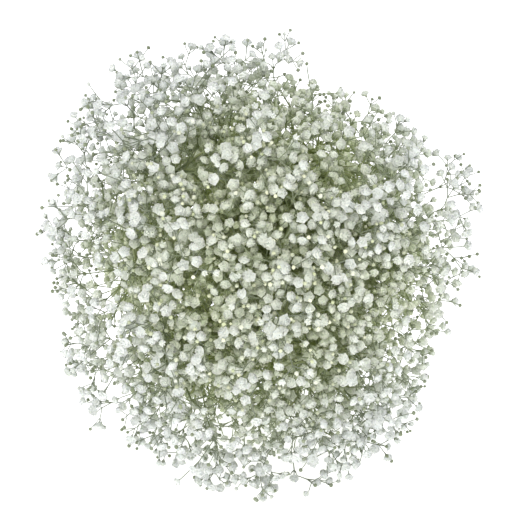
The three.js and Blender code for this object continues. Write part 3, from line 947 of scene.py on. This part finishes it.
# %% Set the leaves
LEAF_PAIRS_AT = (192, 236)
LEAF_ANGLE = math.radians(38)
LEAF_TURN = math.radians(70)
SMALL_LEAF = (0.85, 0.84)  # length beside a large one, at the lowest joint, and how it changes
BRANCH_LEAF = 0.4
LEAF_VARY = 0.3
QUARTER_TURN = 1.57
LEAF_NEAR = 2.5  # how near the tip of a packed leaf has to be
LEAFLET_START = 0.75  # of a half turn, from the outward side to the first leaflet
LEAFLET_LEAN = (0.85, 0.6)  # along its branch and out from it
LEAFLET_VARY = 0.35
BRACTS_UP_TO = 2  # the last level with bracts
BRACT_LEAN = (0.75, 0.66)
BRACT_SIZE = (0.95, 0.12)  # at the first level, and how much less at each level above it
DEEP_LEAFLET = 1.5  # how much larger the leaflets deep in the head are
RIM_LEAFLET = 0.6
LEAFY_WITHIN = 0.6


def add_leaf(stem, at, way, out, angle, size):
    """A leaf that leaves a stem towards out, its upper side to the stem."""
    along = (way * math.cos(angle) + out * math.sin(angle)).normalized()
    over = (way * math.sin(angle) - out * math.cos(angle)).normalized()
    stem["leaves"].append(copy_of(leaf, at, over, along, size, 2, {}))


def has_leaf(stem, tip):
    """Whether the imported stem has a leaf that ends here."""
    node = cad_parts[f"stem_{stem['number']}"].data
    where = (tip + SHIFT) * MM
    return any((point.co - where).length < LEAF_NEAR * MM for point in node.vertices)


def add_leaf_pairs(stem):
    """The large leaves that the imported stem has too."""
    for s in () if stem["middle"] else LEAF_PAIRS_AT:
        at = stem_point(stem, s)
        way = (stem_point(stem, s + 1) - at).normalized()
        outward = sideways(way, at - place(0, 0, s))
        for hand in (1, -1):
            out = turned(outward, way, hand * LEAF_TURN)
            along = way * math.cos(LEAF_ANGLE) + out * math.sin(LEAF_ANGLE)
            if has_leaf(stem, at + along * LEAF_LENGTH):
                add_leaf(stem, at, way, out, LEAF_ANGLE, 1)


def add_small_leaves(stem):
    """Leaves at the joints inside the head, smaller towards the top."""
    for k, fork in enumerate(stem["forks"]):
        on_axis = fork["generation"] == 0
        size = max(BRANCH_LEAF, SMALL_LEAF[0] * SMALL_LEAF[1] ** k) if on_axis else BRANCH_LEAF
        if on_axis and k == 0:
            continue
        way, number = fork["way"], stem["number"]
        first = any_side(way, QUARTER_TURN * k + chance(number, k, 31))
        angle = LEAF_ANGLE * around(LEAF_VARY, number, k, 32)
        for hand in (0, math.pi):
            add_leaf(stem, fork["at"], way, turned(first, way, hand), angle, size)


def leaflet_copies(stem):
    """A pair of narrow leaflets at each joint of the branches, between the side sprays."""
    copies = []
    for at, way, k in stem["joints"]:
        outward = sideways(way, at - heart)
        full_size = DEEP_LEAFLET if share_of_reach(at) < LEAFY_WITHIN else RIM_LEAFLET
        for hand in (0, 1):
            name = (int(at.x * 10), int(at.z * 10), hand)
            out = turned(outward, way, math.pi * (LEAFLET_START + k / 2 + hand))
            lean = out * around(LEAF_VARY, *name, 41) * LEAFLET_LEAN[1]
            along = (way * LEAFLET_LEAN[0] + lean).normalized()
            size = around(LEAFLET_VARY, *name, 42) * full_size
            copies.append(copy_of(leaflet, at, along, sideways(along, way.cross(out)), size, 2, {}))
    return copies


def bract_copies(stem):
    """A pair of small scales below each fork of the sprays."""
    copies = []
    for node, way, side, level in stem["bracts"]:
        if level > BRACTS_UP_TO:
            continue
        size = BRACT_SIZE[0] - BRACT_SIZE[1] * level
        for hand in (1, -1):
            out = (way * BRACT_LEAN[0] + side * hand * BRACT_LEAN[1]).normalized()
            copies.append(copy_of(bract, node, out, way.cross(side).normalized(), size, 2, {}))
    return copies


for stem in stems:
    add_leaf_pairs(stem)
    add_small_leaves(stem)
print("leaves:", [len(stem["leaves"]) for stem in stems])

# %% [markdown]
# ## Stems and twigs
# Stems, branches and twigs are round and taper. A curve is made for that: it carries a small
# ring along a line of points, with a radius at each, and gives a tube. The thick axes get a
# ring with more sides than the fine twigs, and their joints are a little swollen. Each curve
# is turned into a mesh. A foot is first drawn too long and then cut off level, which runs on
# a long slant through the low stem and gives the cut a face of its own for the pale pith.

# %% Draw the rods of each stem
JOINT_SWELL = 1.28
JOINT_HALF = 3.2  # along the stem, on both sides of a joint
JOINT_ROOM = 1.4  # how much more than that the even points keep away from a joint
SPARE_FOOT = 16
AXIS_POINT = 7  # how far the tip goes on, down to its radius
TIP_RADIUS = 0.3
AXIS_STEP = 12
DOWNWARD = -0.99  # a face whose normal is lower than this is the cut


def axis_line(stem):
    """A stem's axis with its swollen joints, a little past its cut end."""
    joints = [s for s in stem["stations"] if s not in (0, BAND_AT)]
    stops = set(range(0, stem["top"], AXIS_STEP)) | {stem["top"]}
    stops = {s for s in stops if all(abs(s - joint) > JOINT_HALF * JOINT_ROOM for joint in joints)}
    line = [(s, stem_radius(stem, s)) for s in stops]
    for joint in joints:
        radius = stem_radius(stem, joint)
        line += [(joint - JOINT_HALF, radius), (joint + JOINT_HALF, radius)]
        line.append((joint, radius * JOINT_SWELL))
    line.sort()
    points = [stem_point(stem, s) for s, _ in line]
    radii = [radius for _, radius in line]
    foot_way = (points[1] - points[0]).normalized()
    top_way = (points[-1] - points[-2]).normalized()
    points = [points[0] - foot_way * SPARE_FOOT, *points, points[-1] + top_way * AXIS_POINT]
    return points, [radii[0], *radii, TIP_RADIUS]


def sweep(name, rods, materials=(), twist="MINIMUM", closed=False):
    """A mesh from the active outline, carried along lines of points in metres with sizes."""
    bpy.ops.object.convert(target="CURVE")
    outline = bpy.context.object
    curve = bpy.data.curves.new(name, "CURVE")
    curve.dimensions = "3D"
    curve.bevel_mode = "OBJECT"
    curve.bevel_object = outline
    curve.use_fill_caps = not closed
    curve.twist_mode = twist
    dress(curve, materials)
    for points, sizes in rods:
        spline = curve.splines.new("POLY")
        spline.points.add(len(points) - 1)
        spline.points.foreach_set("co", [n for point in points for n in (*point, 1)])
        spline.points.foreach_set("radius", list(sizes))
        spline.use_cyclic_u = closed
    pick(new_object(name, curve))
    bpy.ops.object.convert(target="MESH")
    bpy.data.objects.remove(outline)
    return bpy.context.object


def tubes(name, rods, sides, materials):
    """Tubes through lines of points in mm, with the radius at each."""
    bpy.ops.mesh.primitive_circle_add(vertices=sides, radius=MM)
    rods = [([(point + SHIFT) * MM for point in points], radii) for points, radii in rods]
    return sweep(name, rods, materials)


def cut_foot(piece, height, finish):
    """Cuts the axis level at this height in mm, and gives the cut its own finish number."""
    bpy.ops.object.mode_set(mode="EDIT")
    bpy.ops.mesh.select_all(action="SELECT")
    bpy.ops.mesh.bisect(plane_co=(0, 0, height * MM), plane_no=(0, 0, 1), use_fill=True, clear_inner=True)
    bpy.ops.object.mode_set(mode="OBJECT")
    for face in piece.data.polygons:
        if face.normal.z < DOWNWARD and abs(face.center.z - height * MM) < 0.1 * MM:
            face.material_index = finish
            print(piece.name, "cut in mm2:", round(face.area / MM**2, 1))


def joined(name, parts):
    """Several objects made one."""
    pick(*parts)
    bpy.ops.object.join()
    parts[0].name = parts[0].data.name = name
    return parts[0]


# %% [markdown]
# ## Formulas for finishes
# A finish is a pattern, and a pattern is a formula on places: add, multiply, mix. Blender
# writes formulas as nodes. The small class below lets Python write them, so that noise * 0.2
# + 0.5 adds the two Math nodes by itself. Everything else comes from one method, node().

# %% A material's nodes as formulas
class Value:
    """A socket that can be added, subtracted and multiplied."""

    def __init__(self, finish, socket):
        self.finish, self.socket = finish, socket

    def math(self, operation, first, second):
        """A Math node on two sockets or numbers."""
        return self.finish.node("ShaderNodeMath", {"operation": operation}, {0: first, 1: second})

    def __add__(self, other):
        return self.math("ADD", self, other)

    def __radd__(self, other):
        return self.math("ADD", other, self)

    def __sub__(self, other):
        return self.math("SUBTRACT", self, other)

    def __rsub__(self, other):
        return self.math("SUBTRACT", other, self)

    def __mul__(self, other):
        return self.math("MULTIPLY", self, other)

    def __rmul__(self, other):
        return self.math("MULTIPLY", other, self)


class Finish:
    """A material with a Principled surface."""

    def __init__(self, name, **constants):
        self.material = bpy.data.materials.new(name)
        self.material.use_nodes = True
        self.tree = self.material.node_tree
        self.surface = self.tree.nodes["Principled BSDF"]
        for socket, value in constants.items():
            self.surface.inputs[socket.replace("_", " ")].default_value = value

    def fill(self, socket, value):
        """Sets a socket to a value, or links it."""
        if isinstance(value, Value):
            self.tree.links.new(value.socket, socket)
        else:
            socket.default_value = value

    def node(self, kind, settings, inputs, output=0):
        """Any node: its settings first, then the values or links of its sockets."""
        made = self.tree.nodes.new(kind)
        for name, value in settings.items():
            setattr(made, name, value)
        for name, value in inputs.items():
            self.fill(made.inputs[name], value)
        return Value(self, made.outputs[output])

    def mark(self, name):
        """A number that the points of the mesh bring along."""
        return self.node("ShaderNodeAttribute", {"attribute_name": name}, {}, "Fac")

    def places(self):
        """Object coordinates, which are metres of the frame."""
        return self.node("ShaderNodeTexCoord", {}, {}, "Object")

    def noise(self, places, size, detail=3):
        """Noise whose grains are about this many millimetres."""
        inputs = {"Vector": places, "Scale": 1 / (size * MM), "Detail": detail}
        return self.node("ShaderNodeTexNoise", {}, inputs)

    def mix(self, share, first, second):
        """Two colours, mixed."""
        inputs = {0: share, 6: self.colour(first), 7: self.colour(second)}
        return self.node("ShaderNodeMix", {"data_type": "RGBA"}, inputs, 2)

    def colour(self, value):
        """A colour for a socket, with full opacity if it is given as three numbers."""
        return value if isinstance(value, Value) else (*value, 1)

    def between(self, value, low, high, start=0, end=1):
        """A value, with low to high stretched to start to end, and nothing beyond."""
        inputs = {0: value, 1: low, 2: high, 3: start, 4: end}
        return self.node("ShaderNodeMapRange", {}, inputs)

    def bump(self, height, depth, strength):
        """Relief: height is from 0 to 1, depth is in millimetres."""
        inputs = {"Strength": strength, "Distance": depth * MM, "Height": height}
        self.fill(self.surface.inputs["Normal"], self.node("ShaderNodeBump", {}, inputs))

    def specked(self, colour, specks, spread, pale, relief):
        """The colour with specks of another one, which stand up a little."""
        self.bump(specks, *relief)
        return self.mix(self.between(specks, *spread), colour, pale)

    def show(self, **inputs):
        """Links what varies to the surface, and gives the material."""
        for name, value in inputs.items():
            self.fill(self.surface.inputs[name.replace("_", " ")], value)
        return self.material


# %% [markdown]
# ## Petals
# The petals are white, but no plain white: their white also paints the light and shade of the head. It is
# painted yellowish deep in the head, where light comes through green, a little warm and darker on the
# crown, which the front lamp lights most, and lighter and cooler at the rim. In their creases they are
# painted a greenish shade, and a bud is green with a cream tip, which is darker on the young ones at the
# rim.
# Which white it is depends on how far a place is from the middle of the head and on the marks
# of the flower. Specks of noise stand for the shade between small petals that the shapes
# leave out, and some subsurface scattering lets light through, as thin petals do.

# %% Finish the petals
def distance_from_middle(finish, places):
    """How far a place is from the middle of the head, in millimetres."""
    inputs = {0: places, 1: tuple((HEAD_MIDDLE + SHIFT) * MM)}
    distance = finish.node("ShaderNodeVectorMath", {"operation": "DISTANCE"}, inputs, "Value")
    return distance * (1 / MM)


def distance_behind_middle(finish, places):
    """How far a place is behind the middle of the head, towards the feet, in millimetres."""
    backwards = place(0, 0, 0) - place(0, 0, 1)
    inputs = {0: places, 1: tuple(backwards)}
    along = finish.node("ShaderNodeVectorMath", {"operation": "DOT_PRODUCT"}, inputs, "Value")
    return along * (1 / MM) - (HEAD_MIDDLE + SHIFT).dot(backwards)


def petal_finish():
    """Flowers in all stages, and buds."""
    finish = Finish("petals", Subsurface_Weight=0.25, Subsurface_Scale=0.0015, IOR=1.38)
    finish.surface.inputs["Subsurface Radius"].default_value = (1, 1, 0.8)
    places = finish.places()
    rim, green, flower, young = (finish.mark(name) for name in PETAL_MARKS)
    wrinkles = finish.noise(places, 0.9)
    patches = finish.noise(places, 30, 1)
    # Painted light: the whites below, and the greens of creases and gaps, change with the distance from
    # the middle of the head, yellow-green deep inside where light comes through green, warm and darker on
    # the crown under the front lamp, lighter and cooler at the rim.
    outside = finish.between(distance_from_middle(finish, places), 90, 150)
    painted_green_light_white = finish.mix(flower, (0.68, 0.74, 0.45), (0.75, 0.78, 0.55))
    crown_white = finish.mix(flower, (0.62, 0.64, 0.57), (0.67, 0.68, 0.61))
    rim_white = finish.mix(flower, (0.66, 0.675, 0.66), (0.86, 0.87, 0.86))
    painted_outer_white = finish.mix(young, crown_white, rim_white)
    # Painted shade: where the relief mark and fine wrinkle noise are low, in the creases, the petals take
    # a darker greenish colour.
    painted_crease_shade = finish.mix(outside, (0.53, 0.61, 0.3), (0.64, 0.68, 0.655))
    share = finish.between(rim + wrinkles * 0.5, 0.2, 0.75)
    open_colour = finish.mix(share, painted_crease_shade, finish.mix(outside, painted_green_light_white, painted_outer_white))
    gaps = finish.between(finish.noise(places, 1.7, 1) - rim * 0.3, 0.5, 0.58, 0, 0.75)
    gap_colour = finish.mix(outside, (0.36, 0.42, 0.21), (0.45, 0.49, 0.43))
    open_colour = finish.mix(gaps, open_colour, gap_colour)
    cream = finish.mix(flower, (0.55, 0.6, 0.36), (0.82, 0.82, 0.62))
    tip = finish.mix(young, cream, (0.2, 0.23, 0.15))
    bud_colour = finish.mix(finish.between(rim, 0.1, 0.4), (0.16, 0.2, 0.1), tip)
    colour = finish.mix(green * finish.between(patches, 0.2, 0.6, 0.75, 1), open_colour, bud_colour)
    finish.bump(wrinkles, 0.25, 0.5)
    return finish.show(Base_Color=colour, Roughness=finish.between(wrinkles, 0.2, 0.8, 0.5, 0.75))


petal_material = petal_finish()

# %% [markdown]
# ## Green stems
# Stems and branches are painted a light yellow-green deep in the head, a painted light that lifts the
# shade there, and are darker where they come out between the flowers of the crown, and grey-green at the
# rim. Calyxes and leaves inside the head are painted lighter in the same way. Behind the head the bare
# stems and the low leaves are a fresher green. Two measures on object coordinates say which green it is:
# how far a place is from the middle of the head, and how far behind it. One green gives way to the next
# over a stretch, and patches, specks and a faint relief are noise.

# %% Finish the green parts
def by_place(finish, patches, inside, *others):
    """Greens in patches. Each of the others takes over where a distance goes from low to high."""
    colour = finish.mix(patches, *inside)
    for distance, low, high, *greens in others:
        colour = finish.mix(finish.between(distance, low, high), colour, finish.mix(patches, *greens))
    return colour


def stem_finish():
    """Axes, branches and twigs."""
    finish = Finish("green_stems", IOR=1.45)
    places = finish.places()
    specks, patches = finish.noise(places, 0.8), finish.noise(places, 14, 2)
    far, behind = distance_from_middle(finish, places), distance_behind_middle(finish, places)
    # Painted light: the inside greens are lighter, to lift the shade deep in the head.
    inside = (0.33, 0.41, 0.12), (0.57, 0.63, 0.25)
    crown = far, 88, 116, (0.13, 0.165, 0.075), (0.27, 0.315, 0.17)
    rim = far, 120, 150, (0.13, 0.15, 0.11), (0.235, 0.26, 0.205)
    bare = behind, 85, 135, (0.14, 0.21, 0.06), (0.3, 0.38, 0.15)
    colour = by_place(finish, patches, inside, crown, rim, bare)
    colour = finish.specked(colour, specks, (0.5, 0.8, 0, 0.35), (0.42, 0.48, 0.3), (0.12, 0.4))
    return finish.show(Base_Color=colour, Roughness=finish.between(patches, 0.3, 0.7, 0.45, 0.65))


def calyx_finish():
    """The cups under flowers and buds."""
    finish = Finish("calyxes", IOR=1.42)
    places = finish.places()
    specks, patches = finish.noise(places, 0.7), finish.noise(places, 9, 1)
    far = distance_from_middle(finish, places)
    # Painted light: the inside greens are lighter, to lift the shade deep in the head.
    inside = (0.33, 0.42, 0.15), (0.54, 0.62, 0.29)
    crown = far, 88, 118, (0.24, 0.275, 0.175), (0.38, 0.415, 0.29)
    rim = far, 125, 155, (0.13, 0.145, 0.11), (0.22, 0.24, 0.19)
    colour = by_place(finish, patches, inside, crown, rim)
    colour = finish.specked(colour, specks, (0.45, 0.75, 0, 0.25), (0.5, 0.55, 0.36), (0.1, 0.4))
    return finish.show(Base_Color=colour, Roughness=finish.between(specks, 0.3, 0.7, 0.55, 0.7))


def leaf_finish():
    """Leaves, leaflets and bracts."""
    finish = Finish("leaves", IOR=1.42)
    places = finish.places()
    grain, patches = finish.noise(places, 1.1), finish.noise(places, 22, 2)
    far, behind = distance_from_middle(finish, places), distance_behind_middle(finish, places)
    # Painted light: the inside greens are lighter, to lift the shade deep in the head.
    inside = (0.26, 0.31, 0.12), (0.47, 0.51, 0.22)
    outside = far, 90, 150, (0.12, 0.14, 0.08), (0.22, 0.25, 0.16)
    low = behind, 85, 135, (0.15, 0.23, 0.07), (0.34, 0.43, 0.17)
    colour = by_place(finish, patches, inside, outside, low)
    colour = finish.specked(colour, grain, (0.5, 0.85, 0, 0.3), (0.4, 0.46, 0.2), (0.15, 0.35))
    return finish.show(Base_Color=colour, Roughness=finish.between(grain, 0.3, 0.7, 0.4, 0.6))


def pith_finish():
    """The pale, slightly ringed inside of a stem that its cut shows."""
    finish = Finish("cut_ends", Roughness=0.8)
    grain = finish.noise(finish.places(), 0.6)
    finish.bump(grain, 0.1, 0.4)
    return finish.show(Base_Color=finish.mix(grain, (0.5, 0.52, 0.28), (0.72, 0.72, 0.5)))


green_materials = [stem_finish(), calyx_finish(), leaf_finish(), pith_finish()]
PITH = 3

# %% [markdown]
# ## Putting each stem together
# A stem becomes two pieces, because green parts and petals take their finishes from two different
# slots. Both replace the same CAD node, which is hidden, and ride on the same body.

# %% Build the stems
AXIS_SIDES, BRANCH_SIDES, TWIG_SIDES = 12, 6, 3
SMOOTH_UP_TO = math.radians(42)
CRISP_BEYOND = math.radians(18)  # petals are thin, so that nearly every fold shows an edge


def finish_piece(piece, name, smooth_up_to=SMOOTH_UP_TO):
    """The last steps for a piece: its name, its shading and its place in the frame."""
    piece.name = piece.data.name = name
    pick(piece)
    bpy.ops.object.shade_smooth_by_angle(angle=smooth_up_to)
    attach(piece, "root")
    return piece


def build_stem(stem):
    """The green piece and the flowers of one stem, in place of its CAD node."""
    name = f"stem_{stem['number']}"
    axis = tubes(name + "_axis", [axis_line(stem)], AXIS_SIDES, green_materials)
    cut_foot(axis, stem["axis"][0].z, PITH)
    rods = [(branch["points"], branch["radii"]) for branch in stem["branches"]]
    thick = tubes(name + "_branches", rods, BRANCH_SIDES, green_materials)
    fine = tubes(name + "_twigs", stem["twigs"], TWIG_SIDES, green_materials)
    petals, calyxes = flower_copies(stem)
    small = calyxes + stem["leaves"] + bract_copies(stem) + leaflet_copies(stem)
    small = write_mesh(name + "_small", small, green_materials)
    green = finish_piece(joined(name + "_green", [axis, thick, fine, small]), name + "_green")
    flowers = write_mesh(name + "_flowers", petals, [petal_material], PETAL_MARKS)
    finish_piece(flowers, name + "_flowers", CRISP_BEYOND)
    for piece, slot in ((green, "stem_green"), (flowers, "petal_white")):
        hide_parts(name)
        piece.data.calc_loop_triangles()
        print(piece.name, "triangles:", len(piece.data.loop_triangles))


for stem in stems:
    build_stem(stem)

# %% [markdown]
# ## The rubber band
# A florist winds a thin rubber band round the stems a few times and lets it snap back. Its
# turns lie side by side, flat and a little uneven, and the last stretch crosses over the
# others. The path of a strand is worked out round the ring of stems, and a curve carries a
# small rounded profile along it.

# %% Wind the band
TURNS = 3
STRAND = (1.35, 2.1)  # its thickness and its width
BAND_ROOM = 0.35  # between a stem and the band
BAND_INNER = stem_radius(stems[-1], BAND_AT) + BAND_ROOM
ARC_STEPS = 6
CROSS_FROM = 0.86  # the share of the path after which the strand crosses the others
CROSS_HEIGHT = 0.95  # of the strand's thickness, where it rides over them
CROSS_ROUND = 0.6
WAVER = (0.12, 0.25)  # outward and along the stems
EDGE_ROUND = 0.4
WELD = 0.00002  # metres


def band_path():
    """The strand's closed path, about its own Z axis, in millimetres."""
    points = []
    total = TURNS * OUTER_STEMS * ARC_STEPS
    for k in range(total):
        share = k / total
        corner, step = divmod(k, ARC_STEPS)
        centre = corner * FULL_TURN / OUTER_STEMS
        turn = centre + (step / (ARC_STEPS - 1) - 0.5) * math.pi / 3
        crossing = max(0, (share - CROSS_FROM) / (1 - CROSS_FROM))
        rise = math.sin(math.pi * crossing) ** CROSS_ROUND if crossing else 0
        over = STRAND[0] * CROSS_HEIGHT * rise
        radius = BAND_INNER + STRAND[0] / 2 + over + WAVER[0] * chance(corner, 91)
        width = STRAND[1] * (TURNS - 1)
        eased = (1 - math.cos(math.pi * crossing)) / 2
        height = width * (share / CROSS_FROM - 0.5) if not crossing else width * (0.5 - eased)
        height += WAVER[1] * (chance(corner, 92) - 0.5)
        x = BAND_RING * math.cos(centre) + radius * math.cos(turn)
        y = BAND_RING * math.sin(centre) + radius * math.sin(turn)
        points.append((x * MM, y * MM, height * MM))
    return points


def wind_band():
    """The strand with its rounded edges, round the stems."""
    bpy.ops.mesh.primitive_plane_add(size=1)
    bpy.ops.transform.resize(value=(STRAND[0] * MM, STRAND[1] * MM, 1))
    bpy.ops.object.transform_apply(location=True, rotation=True, scale=True)
    bpy.ops.object.mode_set(mode="EDIT")
    bpy.ops.mesh.bevel(offset=EDGE_ROUND * MM, segments=2, affect="VERTICES")
    bpy.ops.mesh.delete(type="ONLY_FACE")
    bpy.ops.object.mode_set(mode="OBJECT")
    path = band_path()
    strand = sweep("strand", [(path, [1] * len(path))], twist="Z_UP", closed=True)
    strand.rotation_euler = (math.pi / 2 - TILT, 0, 0)
    strand.location = (place(0, 0, BAND_AT) + SHIFT) * MM
    bpy.ops.object.transform_apply(location=True, rotation=True, scale=True)
    bpy.ops.object.mode_set(mode="EDIT")
    bpy.ops.mesh.select_all(action="SELECT")
    bpy.ops.mesh.remove_doubles(threshold=WELD)
    bpy.ops.mesh.normals_make_consistent(inside=False)
    bpy.ops.object.mode_set(mode="OBJECT")
    return strand


def rubber_finish():
    """Dusty natural rubber."""
    finish = Finish("natural_rubber", IOR=1.5)
    places = finish.places()
    dust, cloud = finish.noise(places, 0.35), finish.noise(places, 5, 2)
    colour = finish.mix(cloud, (0.42, 0.25, 0.1), (0.6, 0.4, 0.19))
    colour = finish.specked(colour, dust, (0.55, 0.8, 0, 0.3), (0.72, 0.6, 0.4), (0.06, 0.4))
    return finish.show(Base_Color=colour, Roughness=finish.between(dust, 0.3, 0.7, 0.42, 0.62))


band = finish_piece(wind_band(), "rubber_band_wound")
dress(band.data, [rubber_finish()])
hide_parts("rubber_band")
print("band faces:", len(band.data.polygons))

# %% [markdown]
# ## The table and the light
# The bunch lies on a plain table that runs out of sight and glows white, so that no shadow
# darkens what is round the bunch. A soft, slightly warm lamp stands more than a metre in
# front of the crown and above it, and a wider, weaker one hangs overhead. Nearly white
# surroundings with a touch of blue fill the shadows among the flowers.

# %% Set the table and the lamps
FLOOR_HALF = 30  # metres
FLOOR_GLOW = 0.8
CROWN_BEYOND = 60  # from the widest place to the part of the crown that the lamps face


def floor_finish():
    """The plain white of the table."""
    finish = Finish("table", Roughness=0.9)
    patches = finish.noise(finish.places(), 400, 2)
    colour = finish.mix(patches, (0.82, 0.82, 0.82), (0.85, 0.85, 0.85))
    finish.surface.inputs["Emission Color"].default_value = (1, 1, 1, 1)
    finish.surface.inputs["Emission Strength"].default_value = FLOOR_GLOW
    return finish.show(Base_Color=colour)


def soft_lamp(name, at, target, size, power, colour):
    """A square lamp in mm coordinates of the bunch that faces a target."""
    lamp = bpy.data.lights.new(name, "AREA")
    lamp.size = size * MM
    lamp.energy = power
    lamp.color = colour
    holder = new_object(name, lamp)
    holder.location = (at + SHIFT) * MM
    holder.rotation_euler = (target - at).to_track_quat("-Z", "Y").to_euler()


bpy.ops.mesh.primitive_plane_add(size=2 * FLOOR_HALF)
floor = bpy.context.object
floor.name = "table"
floor.data.materials.append(floor_finish())
crown = place(0, 0, WIDEST_AT + CROWN_BEYOND)
soft_lamp("front lamp", place(-120, 325, WIDEST_AT + 1400), crown, 700, 9.7, (1, 0.99, 0.94))
soft_lamp("top lamp", crown + Vector((-300, -100, 1500)), crown, 1500, 2.6, (1, 1, 1))
world = bpy.data.worlds.new("surroundings")
world.use_nodes = True
background = world.node_tree.nodes["Background"]
background.inputs["Color"].default_value = (0.96, 0.98, 1, 1)
background.inputs["Strength"].default_value = 0.82
bpy.context.scene.world = world
bpy.context.scene.view_settings.view_transform = "Standard"

# %% [markdown]
# ## Bring the scene up to date
# Some fine sprays stand a little past the box of the imported model.

# %% Update the scene
bpy.context.view_layer.update()
